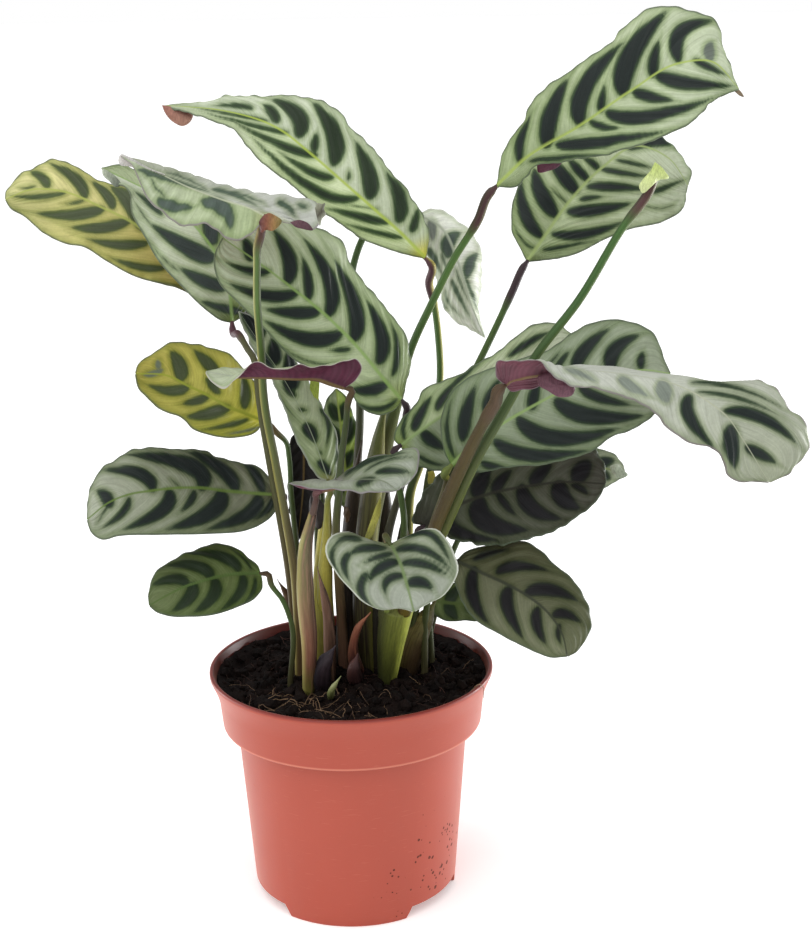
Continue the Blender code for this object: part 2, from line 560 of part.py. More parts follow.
def make_shoot(name, shoot):
    """A sheath or sprout that stands on the soil. Returns its top's middle and direction."""
    foot = np.array([[*shoot["foot"], SOIL_TOP + GAP]])
    path = np.vstack([foot, in_space(shoot["points"])])
    shares = np.linspace(0, 1, SHOOT_RINGS)
    path = smooth_line(path, shares)
    radii = np.interp(shares, np.linspace(0, 1, len(shoot["radii"])), shoot["radii"])
    make_object(name, lambda bm: tube(bm, path, radii, SHOOT_SIDES, np.array([0.0, 0.0, 1.0])),
                SHOOT_LOOKS.get(name, "sheath"))
    return path[-1], unit(path[-1] - path[-2])


def stalk_start(stalk, sheath_tops):
    """Where a stalk begins, on the soil or on a sheath's top, and that surface's normal."""
    if "foot" in stalk:
        return np.array([*stalk["foot"], SOIL_TOP + GAP]), np.array([0.0, 0.0, 1.0])
    sheath, right, back = stalk["seat"]
    top, normal = sheath_tops[sheath]
    across = unit(np.cross(np.array([0.0, 1.0, 0.0]), normal))
    behind = np.cross(normal, across)
    return top + right * across + back * behind + GAP * normal, normal


def make_stalk(name, stalk, points, end_tangent, sheath_tops):
    """A stalk from its foot to the end of its list of places, pointed where its blade begins."""
    start, normal = stalk_start(stalk, sheath_tops)
    path = in_space(points)[::-1]
    if end_tangent is not None:
        path = np.vstack([path[:-1], path[-1] - end_tangent * STALK_TIP_LENGTH, path[-1]])
    path = np.vstack([start, path])
    length = line_length(path)
    shares = np.linspace(0, 1 - STALK_TIP_LENGTH / length, STALK_RINGS - 1)
    path = smooth_line(path, np.append(shares, 1.0))
    radii = np.interp(shares, np.linspace(0, 1, len(stalk["radii"])), stalk["radii"])
    radii = np.append(radii, STALK_TIP_RADIUS)
    make_object(name, lambda bm: tube(bm, path, radii, STALK_SIDES, normal), "stalk")


def make_leaf(name, leaf, sheath_tops):
    grid = blade_grid(leaf)
    make_object(name, lambda bm: sheet(bm, grid, BLADE_THICKNESS), BLADE_LOOKS.get(name, "blade"))
    ends = in_space(leaf["midrib"][:2])
    points = [leaf["midrib"][0]] + leaf["stalk"]
    make_stalk(name.replace("leaf", "stalk"), leaf, points, unit(ends[1] - ends[0]), sheath_tops)


def ring(bm, radius, height, segments):
    angles = [2 * math.pi * k / segments for k in range(segments)]
    return [bm.verts.new((radius * math.cos(a), radius * math.sin(a), height)) for a in angles]


def join_rings(bm, low, high):
    count = len(low)
    for k in range(count):
        bm.faces.new((low[k], low[(k + 1) % count], high[(k + 1) % count], high[k]))


def body_radius(height):
    """The pot wall's outer radius under the collar."""
    return FOOT_RADIUS + (BODY_TOP_RADIUS - FOOT_RADIUS) * height / COLLAR_BOTTOM


FLOOR_BOTTOM = FOOT_HEIGHT + FLOOR_CLEARANCE
FLOOR_TOP = FLOOR_BOTTOM + FLOOR_THICKNESS
FOOT_INSIDE = FOOT_RADIUS - FOOT_WIDTH
LIP_INSIDE = RIM_RADIUS - LIP_WIDTH
INNER_WALL = [                  # radius and height inside the pot, from the floor to the lip
    (body_radius(FLOOR_TOP) - WALL, FLOOR_TOP),
    (BODY_TOP_RADIUS - WALL, COLLAR_BOTTOM + COLLAR_EDGE),
    (COLLAR_RADIUS - WALL, COLLAR_BOTTOM + COLLAR_EDGE + WALL),
    *[(radius - WALL, height + COLLAR_EDGE) for radius, height in COLLAR_FLARE],
    (LIP_INSIDE, POT_HEIGHT - 2 * LIP_EDGE),
]
OUTER_WALL = [                  # radius and height outside, from the foot to the lip
    (FOOT_RADIUS - FOOT_EDGE, 0.0), (FOOT_RADIUS, FOOT_EDGE),
    (BODY_TOP_RADIUS, COLLAR_BOTTOM - 3 * COLLAR_EDGE),
    (COLLAR_RADIUS - 2 * COLLAR_EDGE, COLLAR_BOTTOM - COLLAR_EDGE),
    (COLLAR_RADIUS, COLLAR_BOTTOM + COLLAR_EDGE),
    *COLLAR_FLARE,
    (RIM_RADIUS, POT_HEIGHT - LIP_HEIGHT), (RIM_RADIUS, POT_HEIGHT - LIP_EDGE),
    (RIM_RADIUS - LIP_EDGE, POT_HEIGHT), (LIP_INSIDE + LIP_EDGE, POT_HEIGHT),
]


def pot_shell(bm):
    """The pot as one turned ring section, with its floor closed by a disc above and below."""
    outline = [(FOOT_INSIDE - FOOT_DRAFT, FLOOR_BOTTOM), (FOOT_INSIDE, 0.0)]
    outline += OUTER_WALL + INNER_WALL[::-1]
    rings = [ring(bm, radius, height, POT_SEGMENTS) for radius, height in outline]
    for low, high in zip(rings, rings[1:]):
        join_rings(bm, low, high)
    bm.faces.new(rings[0])
    bm.faces.new(rings[-1])


def foot_gap(bm, middle):
    """A cutter for the gap between two feet, a sector of a ring below the floor."""
    inside, outside = FOOT_INSIDE - 2 * CUT_PAST, FOOT_RADIUS + 4 * CUT_PAST
    shares = [k / FOOT_GAP_STEPS - 0.5 for k in range(FOOT_GAP_STEPS + 1)]
    angles = [middle + FOOT_GAP_ANGLE * share for share in shares]
    outline = [(inside, a) for a in angles] + [(outside, a) for a in angles[::-1]]
    low, high = [[bm.verts.new((r * math.cos(a), r * math.sin(a), z)) for r, a in outline]
                 for z in (-CUT_PAST, FOOT_HEIGHT)]
    join_rings(bm, low, high)
    bm.faces.new(low)
    bm.faces.new(high)


def drain_hole(bm, angle):
    """A cutter for one round hole through the pot's floor."""
    heights = (FLOOR_BOTTOM - CUT_PAST, FLOOR_TOP + CUT_PAST)
    low, high = [ring(bm, DRAIN_HOLE_RADIUS, height, DRAIN_HOLE_SEGMENTS) for height in heights]
    join_rings(bm, low, high)
    bm.faces.new(low)
    bm.faces.new(high)
    place = (DRAIN_HOLE_CIRCLE * math.cos(angle), DRAIN_HOLE_CIRCLE * math.sin(angle), 0.0)
    bmesh.ops.translate(bm, vec=place, verts=bm.verts)


def cut(target, name, mesh_maker):
    """Takes a hidden cutter's shape out of the target with a Boolean."""
    cutter = make_object(name, mesh_maker, "pot")
    cutter.hide_render = True
    cutter.display_type = "WIRE"
    boolean = target.modifiers.new(name, "BOOLEAN")
    boolean.operation = "DIFFERENCE"
    boolean.solver = "EXACT"
    boolean.object = cutter


def make_pot():
    pot = make_object("pot", pot_shell, "pot")
    pot.data.set_sharp_from_angle(angle=SHARP_ANGLE)
    for k in range(FOOT_COUNT):
        middle = FIRST_GAP_ANGLE + 2 * math.pi * k / FOOT_COUNT
        cut(pot, f"foot_gap_{k + 1}", lambda bm, middle=middle: foot_gap(bm, middle))
    for k in range(DRAIN_HOLE_COUNT):
        angle = 2 * math.pi * k / DRAIN_HOLE_COUNT
        cut(pot, f"drain_hole_{k + 1}", lambda bm, angle=angle: drain_hole(bm, angle))


def soil_body(bm):
    """The substrate, a turned solid that keeps clear of the pot's wall and floor."""
    walls = [(radius - SOIL_CLEARANCE, height) for radius, height in INNER_WALL]
    (floor_radius, floor), (step_radius, step), (collar_radius, collar), flare = walls[:4]
    radii, heights = zip(*walls)
    outline = [(floor_radius, floor + GAP), (step_radius, step + SOIL_CLEARANCE),
               (collar_radius, collar + SOIL_CLEARANCE), flare,
               (float(np.interp(SOIL_TOP, heights, radii)), SOIL_TOP)]
    rings = [ring(bm, radius, height, SOIL_SEGMENTS) for radius, height in outline]
    for low, high in zip(rings, rings[1:]):
        join_rings(bm, low, high)
    bm.faces.new(rings[0])
    bm.faces.new(rings[-1])


def centre_on_box():
    """Moves every object so that the origin is under the middle of the whole plant's box."""
    corners = np.array([vert.co for obj in bpy.data.objects if not obj.hide_render
                        for vert in obj.data.vertices])
    middle = (corners.min(axis=0) + corners.max(axis=0)) / 2
    for obj in bpy.data.objects:
        obj.location = (-middle[0], -middle[1], 0.0)


def main():
    for obj in list(bpy.data.objects):
        bpy.data.objects.remove(obj, do_unlink=True)
    make_pot()
    make_object("soil", soil_body, "soil")
    sheath_tops = {name: make_shoot(name, shoot) for name, shoot in SHOOTS.items()}
    for name, leaf in LEAVES.items():
        make_leaf(name, leaf, sheath_tops)
    make_stalk("stalk_bare", BARE_STALK, BARE_STALK["points"], None, sheath_tops)
    centre_on_box()


main()
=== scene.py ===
import math
import random
from functools import partial

import bpy
import numpy as np
from mathutils import Matrix, Vector, noise


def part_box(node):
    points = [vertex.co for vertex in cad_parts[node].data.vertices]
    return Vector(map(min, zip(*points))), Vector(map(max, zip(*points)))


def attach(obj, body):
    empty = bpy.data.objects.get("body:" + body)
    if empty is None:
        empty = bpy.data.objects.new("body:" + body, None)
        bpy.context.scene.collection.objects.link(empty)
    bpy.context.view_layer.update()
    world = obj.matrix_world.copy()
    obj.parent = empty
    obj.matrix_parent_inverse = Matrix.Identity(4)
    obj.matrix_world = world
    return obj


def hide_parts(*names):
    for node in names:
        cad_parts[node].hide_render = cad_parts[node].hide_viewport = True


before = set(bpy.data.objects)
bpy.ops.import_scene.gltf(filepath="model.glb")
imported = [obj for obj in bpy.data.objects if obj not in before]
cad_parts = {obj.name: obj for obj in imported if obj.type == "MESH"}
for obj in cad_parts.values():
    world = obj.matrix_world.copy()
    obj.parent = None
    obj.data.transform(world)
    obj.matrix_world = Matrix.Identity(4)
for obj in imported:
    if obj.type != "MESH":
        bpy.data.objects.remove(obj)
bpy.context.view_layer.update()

# Potted ctenanthe. Lengths are millimetres from the pot's axis on the ground, and turn to
# metres when a piece is made. Places on the plant are (across, down, depth): across and down on
# a front view's sheet, and depth behind the pot's axis before it is spread. A noise's scale is
# features to the metre, so 900 makes them 1.1 mm wide, unless it reads a piece's own measures.

mm = 0.001
potLow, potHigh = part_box("pot")
potAxis = np.array([(potLow.x + potHigh.x) / 2, (potLow.y + potHigh.y) / 2, 0.0])
print("frame loaded, pot axis at", potAxis.round(4))

frontView = {
    "centre": (406.0, 466.0),   # sheet units
    "focal": 1700.0,            # sheet units
    "sheetHeight": 932,
    "distance": 675.0,          # from the pot's axis
    "rise": 373.0,              # above the ground
    "pitch": 0.2693, "roll": -0.0147, "yaw": 0.0363,
    "depthSpread": 1.5, "sideSpread": 1.2,
}


def viewFrame():
    pitch, roll, yaw = frontView["pitch"], frontView["roll"], frontView["yaw"]
    place = np.array([0.0, -frontView["distance"], frontView["rise"]])
    forward = np.array([math.sin(yaw) * math.cos(pitch), math.cos(yaw) * math.cos(pitch), -math.sin(pitch)])
    level = np.array([math.cos(yaw), -math.sin(yaw), 0.0])
    rise = np.cross(level, forward)
    right = level * math.cos(roll) + rise * math.sin(roll)
    up = rise * math.cos(roll) - level * math.sin(roll)
    return place, right, up, forward


viewPlace, viewRight, viewUp, viewForward = viewFrame()


def inSpace(places):
    places = np.asarray(places, float)
    across = (places[:, 0:1] - frontView["centre"][0]) / frontView["focal"]
    down = (places[:, 1:2] - frontView["centre"][1]) / frontView["focal"]
    ray = viewForward + across * viewRight - down * viewUp
    reach = (places[:, 2:3] * frontView["depthSpread"] - viewPlace[1]) / ray[:, 1:2]
    return viewPlace + ray * reach


def onSheet(points):
    away = np.asarray(points, float) - viewPlace
    depth = away @ viewForward
    across = frontView["centre"][0] + frontView["focal"] * (away @ viewRight) / depth
    down = frontView["centre"][1] - frontView["focal"] * (away @ viewUp) / depth
    return np.stack([across, down], axis=-1)


def unit(vector):
    return vector / np.linalg.norm(vector)


def turned(radius, angle, *height):
    return (radius * math.cos(angle), radius * math.sin(angle), *height)


def lineLength(points):
    return float(np.sum(np.linalg.norm(np.diff(points, axis=0), axis=1)))


def smoothLine(points, shares):
    # a smooth curve through the points, read at shares of its length
    points = np.asarray(points, float)
    steps = np.linalg.norm(np.diff(points, axis=0), axis=1)
    knots = np.concatenate([[0.0], np.cumsum(steps)])
    slopes = np.diff(points, axis=0) / steps[:, None]
    before, after = steps[:-1, None], steps[1:, None]
    inner = (slopes[:-1] * after + slopes[1:] * before) / (before + after)
    tangents = np.vstack([slopes[:1], inner, slopes[-1:]])
    at = np.linspace(0.0, knots[-1], 600)
    span = np.clip(np.searchsorted(knots, at, side="right") - 1, 0, len(steps) - 1)
    width = steps[span][:, None]
    u = (at - knots[span])[:, None] / width
    line = ((2 * u**3 - 3 * u**2 + 1) * points[span] + (u**3 - 2 * u**2 + u) * width * tangents[span]
            + (3 * u**2 - 2 * u**3) * points[span + 1] + (u**3 - u**2) * width * tangents[span + 1])
    walked = np.concatenate([[0.0], np.cumsum(np.linalg.norm(np.diff(line, axis=0), axis=1))])
    wanted = np.asarray(shares) * walked[-1]
    return np.stack([np.interp(wanted, walked, line[:, k]) for k in range(line.shape[1])], axis=1)


def ease(value, low, high):
    share = np.clip((np.asarray(value, float) - low) / (high - low), 0, 1)
    return share * share * (3 - 2 * share)


def linearColour(hexText):
    channels = [int(hexText[k:k + 2], 16) / 255 for k in (1, 3, 5)]
    return [c / 12.92 if c <= 0.04045 else ((c + 0.055) / 1.055) ** 2.4 for c in channels]


def rgba(hexText):
    return (*linearColour(hexText), 1.0)


usualSettings = {"Mix": {"data_type": "RGBA"}}


def addNode(tree, kind, inputs=(), out=None, **settings):
    # one node: its settings, then its inputs in order or by name, each a plain value or a link.
    # It gives the output named out, or else the first one in use.
    node = tree.nodes.new("ShaderNode" + kind)
    for key, value in {**usualSettings.get(kind, {}), **settings}.items():
        setattr(node, key, value)
    named = isinstance(inputs, dict)
    sockets = [node.inputs[key] for key in inputs] if named else [one for one in node.inputs if one.enabled]
    for socket, value in zip(sockets, inputs.values() if named else inputs):
        if isinstance(value, bpy.types.NodeSocket):
            tree.links.new(value, socket)
        else:
            socket.default_value = value
    return node.outputs[out] if out else next((one for one in node.outputs if one.enabled), None)


def newObject(name, data):
    thing = bpy.data.objects.new(name, data)
    bpy.context.collection.objects.link(thing)
    return thing


def newMaterial(name):
    # a material and the function that adds a node to it
    material = bpy.data.materials.new(name)
    material.use_nodes = True
    material.node_tree.nodes.clear()
    return material, partial(addNode, material.node_tree)


def newPiece(name, points, faces, materials, nodes=(), picks=None, flat=None, values=None):
    # picks and flat say each face's material and whether it is shaded flat
    mesh = bpy.data.meshes.new(name)
    points = np.asarray(points, float) * mm + potAxis
    mesh.from_pydata(points.tolist(), [], [list(map(int, face)) for face in faces])
    for material in materials:
        mesh.materials.append(material)
    flat = np.zeros(len(faces), bool) if flat is None else np.asarray(flat, bool)
    mesh.polygons.foreach_set("use_smooth", ~flat)
    if picks is not None:
        mesh.polygons.foreach_set("material_index", np.asarray(picks, np.int32))
    for key, value in (values or {}).items():
        value = np.asarray(value, np.float32)
        isVector = value.ndim == 2
        layer = mesh.attributes.new(key, "FLOAT_VECTOR" if isVector else "FLOAT", "POINT")
        layer.data.foreach_set("vector" if isVector else "value", value.ravel())
    mesh.update()
    piece = newObject(name, mesh)
    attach(piece, "root")
    if nodes:
        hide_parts(*nodes)
    return piece


# Camera, lights and floor

studio = {
    "floorSide": 60.0,                   # metres
    "floorColour": "#FEFEFE",
    "floorGlow": 0.18,                   # keeps the floor white under the pot
    # the cove: plain all round, brighter in a wide lobe that hangs above and in front
    "skyPlain": 0.45, "skyLobe": 1.34, "lobeTowards": (-0.20, -0.45, 0.87),
    # each light: place and target in metres from the pot's foot, side lengths, watts, colour
    "lights": {
        "overheadSoftbox": ((-0.10, -0.20, 1.25), (0.0, 0.0, 0.15), (0.6, 0.5), 1.6, "#FFFFFF"),
        "frontSoftbox": ((-0.40, -0.95, 1.05), (0.0, 0.0, 0.20), (0.5, 0.4), 1.8, "#FFFDFA"),
        "leftStrip": ((-1.15, 0.10, 0.45), (0.0, 0.0, 0.16), (0.30, 1.0), 2.0, "#FDFEFF"),
        "rightStrip": ((1.15, 0.15, 0.45), (0.0, 0.0, 0.16), (0.30, 1.0), 2.0, "#FDFEFF"),
        # low and a little behind: they light the pot's two sides
        "rightKicker": ((0.95, 0.44, 0.10), (0.0, 0.0, 0.05), (0.25, 0.18), 8.0, "#FFFFFF"),
        "leftKicker": ((-0.95, 0.44, 0.10), (0.0, 0.0, 0.05), (0.25, 0.18), 3.0, "#FFFFFF"),
    },
}


def makeCamera():
    data = bpy.data.cameras.new("frontCamera")
    data.lens = frontView["focal"] * data.sensor_width / frontView["sheetHeight"]
    data.dof.use_dof = False
    data.clip_start, data.clip_end = 0.05, 60.0
    camera = newObject("frontCamera", data)
    axes = Matrix([viewRight, viewUp, -viewForward]).transposed().to_4x4()
    camera.matrix_world = Matrix.Translation(viewPlace * mm + potAxis) @ axes
    bpy.context.scene.camera = camera


def makeLights():
    for name, (place, target, sides, watts, colour) in studio["lights"].items():
        data = bpy.data.lights.new(name, "AREA")
        data.shape = "RECTANGLE"
        data.size, data.size_y = sides
        data.energy = watts
        data.color = linearColour(colour)
        light = newObject(name, data)
        place, target = Vector(place), Vector(target)
        light.location = place + Vector(potAxis)
        light.rotation_euler = (target - place).to_track_quat("-Z", "Y").to_euler()


def makeSky():
    # a white photo cove: it fills the shade softly and shows as plain white
    world = bpy.data.worlds.new("whiteCove")
    world.use_nodes = True
    world.node_tree.nodes.clear()
    add = partial(addNode, world.node_tree)
    towards = add("TexCoord")
    lobe = tuple(unit(np.array(studio["lobeTowards"])))
    lobe = add("VectorMath", (towards, lobe), operation="DOT_PRODUCT")
    lobe = add("Math", (lobe, 0.0), operation="MAXIMUM")
    lobe = add("Math", (lobe, 2.0), operation="POWER")
    light = add("Math", (lobe, studio["skyLobe"], studio["skyPlain"]), operation="MULTIPLY_ADD")
    seen = add("LightPath")
    strength = add("MapRange", (seen, 0.0, 1.0, light, 1.0))
    sky = add("Background", {"Color": rgba("#FFFFFF"), "Strength": strength})
    add("OutputWorld", {"Surface": sky})
    bpy.context.scene.world = world


def makeFloor():
    # matt white paper sweep, a faint fibre mottle, with a weak glow so that it stays white
    material, add = newMaterial("mattWhitePaperSweep")
    place = add("TexCoord", out="Object")
    mottle = add("TexNoise", (place, 60.0, 4.0))  # 17 mm fibre clouds
    tint = add("Mix", (mottle, rgba(studio["floorColour"]), rgba("#FFFFFF")))
    surface = add("BsdfPrincipled", {
        "Base Color": tint, "Roughness": 0.9, "Emission Color": rgba("#FFFFFF"),
        "Emission Strength": studio["floorGlow"]})
    add("OutputMaterial", (surface,))
    half = studio["floorSide"] / 2
    mesh = bpy.data.meshes.new("floor")
    corners = [(-half, -half, 0), (half, -half, 0), (half, half, 0), (-half, half, 0)]
    mesh.from_pydata(corners, [], [(0, 1, 2, 3)])
    mesh.materials.append(material)
    floor = newObject("floor", mesh)


makeCamera()
makeLights()
makeSky()
makeFloor()
bpy.context.scene.view_settings.view_transform = "Standard"
print("camera, lights and floor made")


# Pot: moulded polypropylene, 12 cm across the rim

potShape = {
    "segments": 160,
    "rimRadius": 60.0, "height": 100.0, "wall": 1.4,
    "lipWidth": 1.7, "lipDrop": 1.6,
    "collarRadius": 55.2, "collarBottom": 76.4, "flare": ((56.2, 88.0), (57.3, 92.0), (58.7, 95.4)),
    "bodyTopRadius": 49.2, "footRadius": 43.3, "footHeight": 5.1, "footWidth": 2.4,
    "footGapDegrees": 44.0, "footSlantDegrees": 5.0, "firstGapDegrees": -36.0, "footCount": 3,
    "footGapRadii": (38.9, 47.3),
    "floorUnderside": 5.5, "floorTop": 7.1,
    "drainHoles": 6, "drainRadius": 4.5, "drainCircle": 27.0,
    "stepHighlightHeight": 76.9, "lipFrom": 98.6,   # heights where the painted highlight line and the deep red lip lie
    "dirtPlace": (35.0, -30.0, 21.0), "dirtReach": 34.0,
    "colour": "#A6432D", "deepColour": "#9C3C27", "paleColour": "#CC8068", "dirtColour": "#4E1B0E",
    "lipColour": "#70190D", "innerShadeColour": "#4A1A11",
}


def roundedOutline(corners):
    # (radius, height, fillet) corners to a fine outline, each corner turned into a small arc
    points = []
    for k, (radius, height, fillet) in enumerate(corners):
        here = np.array([radius, height])
        if fillet == 0 or k in (0, len(corners) - 1):
            points.append(here)
            continue
        back = unit(np.array(corners[k - 1][:2]) - here) * fillet
        ahead = unit(np.array(corners[k + 1][:2]) - here) * fillet
        for t in np.linspace(0, 1, 6):
            points.append(here + back * (1 - t) ** 2 + ahead * t ** 2)
    return points


def tubeFaces(rings, sides, start=0):
    # a solid of rings of points, closed at both ends
    faces = [tuple(range(sides))[::-1]]
    for low in range(0, (rings - 1) * sides, sides):
        for k in range(sides):
            after = (k + 1) % sides
            faces.append((low + k, low + after, low + sides + after, low + sides + k))
    faces.append(tuple(range((rings - 1) * sides, rings * sides)))
    return [tuple(start + index for index in face) for face in faces]


def turnedPoints(outline, segments):
    angles = np.arange(segments) * 2 * math.pi / segments
    return np.array([turned(r, a, z) for r, z in outline for a in angles])


def cutterObject(name, points, faces):
    mesh = bpy.data.meshes.new(name)
    mesh.from_pydata((points * mm + potAxis).tolist(), [], faces)
    return newObject(name, mesh)


def prism(outline, low, high, lowOutline=None):
    count = len(outline)
    rings = ((low, lowOutline or outline), (high, outline))
    points = np.array([(x, y, z) for z, ring in rings for x, y in ring])
    faces = [tuple(range(count))[::-1], tuple(range(count, 2 * count))]
    faces += [(k, (k + 1) % count, count + (k + 1) % count, count + k) for k in range(count)]
    return points, faces


def cutPot(pot):
    # gaps between the feet, and the drain holes
    shape = potShape
    cutters = []
    for k in range(shape["footCount"]):
        middle = math.radians(shape["firstGapDegrees"] + 360 / shape["footCount"] * k)
        half = math.radians(shape["footGapDegrees"]) / 2
        outlines = []
        for reach in (half, half + math.radians(shape["footSlantDegrees"])):
            angles = np.linspace(middle - reach, middle + reach, 15)
            turns = zip(shape["footGapRadii"], (angles[::-1], angles))
            outlines.append([turned(r, a) for r, turn in turns for a in turn])
        cutters.append(cutterObject("footGap", *prism(outlines[0], -1.0, shape["footHeight"], outlines[1])))
    for k in range(shape["drainHoles"]):
        angle = 2 * math.pi * k / shape["drainHoles"]
        centre = turned(shape["drainCircle"], angle)
        turn = np.linspace(0, 2 * math.pi, 28, endpoint=False)
        outline = [tuple(np.add(centre, turned(shape["drainRadius"], a))) for a in turn]
        cutters.append(cutterObject("drainHole", *prism(outline, shape["floorUnderside"] - 1,
                                                        shape["floorTop"] + 1)))
    for cutter in cutters:
        boolean = pot.modifiers.new(cutter.name, "BOOLEAN")
        boolean.operation, boolean.solver, boolean.object = "DIFFERENCE", "EXACT", cutter
    bpy.context.view_layer.update()
    done = bpy.data.meshes.new_from_object(pot.evaluated_get(bpy.context.evaluated_depsgraph_get()))
    pot.modifiers.clear()
    pot.data = done
    for cutter in cutters:
        bpy.data.objects.remove(cutter, do_unlink=True)


def potPlastic():
    # polypropylene from a steel mould: satin, a fine even grain, paler where it is scuffed
    material, add = newMaterial("mouldedTerracottaPolypropylene")
    look = potShape
    place = add("VectorMath", (add("TexCoord", out="Object"), tuple(potAxis)), operation="SUBTRACT")
    cloud = add("TexNoise", (place, 22.0, 5.0))  # 45 mm, where the moulding cooled unevenly
    tint = add("Mix", (cloud, rgba(look["colour"]), rgba(look["deepColour"])))
    height = add("SeparateXYZ", (place,), out="Z")
    # scuffs: sparse fine scratches round the wall, a little paler than the plastic
    stretched = add("Mapping", {"Vector": place, "Scale": (1.0, 1.0, 14.0)})
    scratch = add("TexNoise", (stretched, 160.0, 2.0))  # 6 mm long, 0.5 mm wide
    scuffed = add("MapRange", (scratch, 0.66, 0.74, 0.0, 0.2))
    # a painted highlight: a thin pale line along the collar's lower edge
    offStep = add("Math", (height, look["stepHighlightHeight"] * mm), operation="SUBTRACT")
    offStep = add("Math", (offStep,), operation="ABSOLUTE")
    stepHighlight = add("MapRange", (offStep, 0.0006, 0.0001, 0.0, 0.6))
    # the lip's flat top is deep red, and the inner wall is painted darker, painted shade inside the pot
    lip = add("MapRange", (height, look["lipFrom"] * mm, (look["lipFrom"] + 1) * mm, 0.0, 0.9))
    outward = add("VectorMath", (place, (1.0, 1.0, 0.0)), operation="MULTIPLY")
    outward = add("VectorMath", (outward,), operation="NORMALIZE")
    facing = add("VectorMath", (add("NewGeometry", out="Normal"), outward), operation="DOT_PRODUCT")
    inner = add("MapRange", (facing, -0.2, -0.7, 0.0, 0.85))
    # splashes of dried soil low on the front right
    splash = [x * mm for x in look["dirtPlace"]]
    beside = add("VectorMath", (place, splash), operation="DISTANCE")
    near = add("MapRange", (beside, look["dirtReach"] * mm, 0.006, 0.0, 0.23))
    speck = add("TexVoronoi", (place, 420.0), feature="F1")  # grains 2.4 mm apart
    grit = add("TexNoise", (place, 130.0, 2.0))  # in 8 mm patches
    sparse = add("MapRange", (grit, 0.46, 0.62, 0.0, 2.2))
    reach = add("Math", (near, sparse), operation="MULTIPLY")
    reach = add("Math", (reach, 0.032), operation="ADD")
    dirt = add("Math", (speck, reach), operation="LESS_THAN")
    dirt = add("Math", (dirt, 0.92), operation="MULTIPLY")
    for mask, colour in ((scuffed, "paleColour"), (stepHighlight, "paleColour"), (lip, "lipColour"),
                         (inner, "innerShadeColour"), (dirt, "dirtColour")):
        tint = add("Mix", (mask, tint, rgba(look[colour])))
    rough = add("MapRange", (cloud, 0.0, 1.0, 0.34, 0.46))
    rough = add("Math", (rough, scuffed), operation="ADD")
    rough = add("Math", (dirt, 0.5, rough), operation="MULTIPLY_ADD")
    grain = add("TexNoise", (place, 1400.0, 2.0))  # 0.7 mm, coarser than real so that it shows
    bump = add("Bump", {"Height": grain, "Distance": 0.00004, "Strength": 0.5})
    # the wall lets light through, so it glows pale where it turns away
    surface = add("BsdfPrincipled", {
        "Base Color": tint, "Roughness": rough, "Normal": bump, "IOR": 1.49, "Sheen Weight": 0.35,
        "Sheen Roughness": 0.3, "Sheen Tint": rgba("#FFC4B2"), "Subsurface Weight": 0.12,
        "Subsurface Radius": (1.0, 0.35, 0.2), "Subsurface Scale": 0.0012})
    add("OutputMaterial", (surface,))
    return material


def makePot():
    shape = potShape
    foot, wall, rim = shape["footRadius"], shape["wall"], shape["rimRadius"]
    slope = (shape["bodyTopRadius"] - foot) / shape["collarBottom"]
    top, lipInside = shape["height"], rim - shape["lipWidth"]
    collar, low = shape["collarRadius"], shape["collarBottom"]
    # corners (radius, height, fillet), up the outside and then down the inside
    outside = [(foot - shape["footWidth"] - 0.3, shape["floorUnderside"], 0),
               (foot - shape["footWidth"], 0, 0.4), (foot, 0, 0.7),
               (shape["bodyTopRadius"] - 0.1, low - 0.4, 0.5), (collar - 0.2, low - 0.2, 0.7)]
    outside += [(r, z, 0) for r, z in shape["flare"]]
    outside += [(rim, top - shape["lipDrop"], 0.35), (rim, top, 0.7), (lipInside, top, 0.7)]
    inside = [(foot + slope * shape["floorTop"] - wall, shape["floorTop"], 0.8),
              (shape["bodyTopRadius"] - wall, low + 0.4, 0.6), (collar - wall, low + 1.8, 0.6)]
    inside += [(r - wall, z + 0.4, 0) for r, z in shape["flare"]]
    outline = roundedOutline(outside + inside[::-1])
    segments = shape["segments"]
    points, faces = turnedPoints(outline, segments), tubeFaces(len(outline), segments)
    pot = newPiece("nurseryPot", points, faces, [potPlastic()], ["pot"])
    cutPot(pot)
    pot.data.set_sharp_from_angle(angle=math.radians(38))


makePot()
print("pot made")


# Potting mix: peat crumbs and coir fibre, moist and dark, with a few surface roots

soilLook = {
    "radius": 57.0, "level": 93.4,
    "step": (47.3, 75.6), "floor": (41.6, 7.6),              # radius and height of its lower edges
    "lumps": 3.0, "fineLumps": 0.9, "edgeRise": 3.1,         # mm high
    "crumbs": 1300, "crumbSize": (0.4, 3.4),
    "fibres": 260, "fibreLength": (4.0, 16.0), "fibreRadius": (0.08, 0.18),
    "peat": "#0A0605", "peatLight": "#1C110D", "fibre": "#1E0F0A", "fibrePale": "#4A2A1C",
    "root": "#A58664", "rootDark": "#4A3526", "perlite": "#B5AFA2",
    # (from x, to x, from y, to y, how many)
    "rootPatches": [(-42, -16, -44, -24, 24), (-16, 14, -46, -22, 26), (-12, 6, -24, -10, 12),
                    (26, 46, -26, 6, 8)],
    # radius and height along the one root that hangs over the rim, and where on the rim it does
    "overRim": [(54.5, 95.2), (57.6, 99.2), (59.4, 100.9), (60.6, 99.6), (60.5, 96.8), (59.9, 93.4)],
    "overRimDegrees": -31,
}


def soilHeight(x, y):
    radius = math.hypot(x, y)
    edge = float(ease(radius, 50.0, 57.0))
    lumps = noise.fractal(Vector((x * 0.055, y * 0.055, 3.1)), 0.9, 2.1, 4)
    fine = noise.fractal(Vector((x * 0.33, y * 0.33, 8.4)), 0.8, 2.2, 3)
    broad = soilLook["lumps"] * (lumps * 0.9 + 0.1) * (1 - 0.7 * edge)
    return soilLook["level"] + broad + soilLook["fineLumps"] * fine + soilLook["edgeRise"] * edge


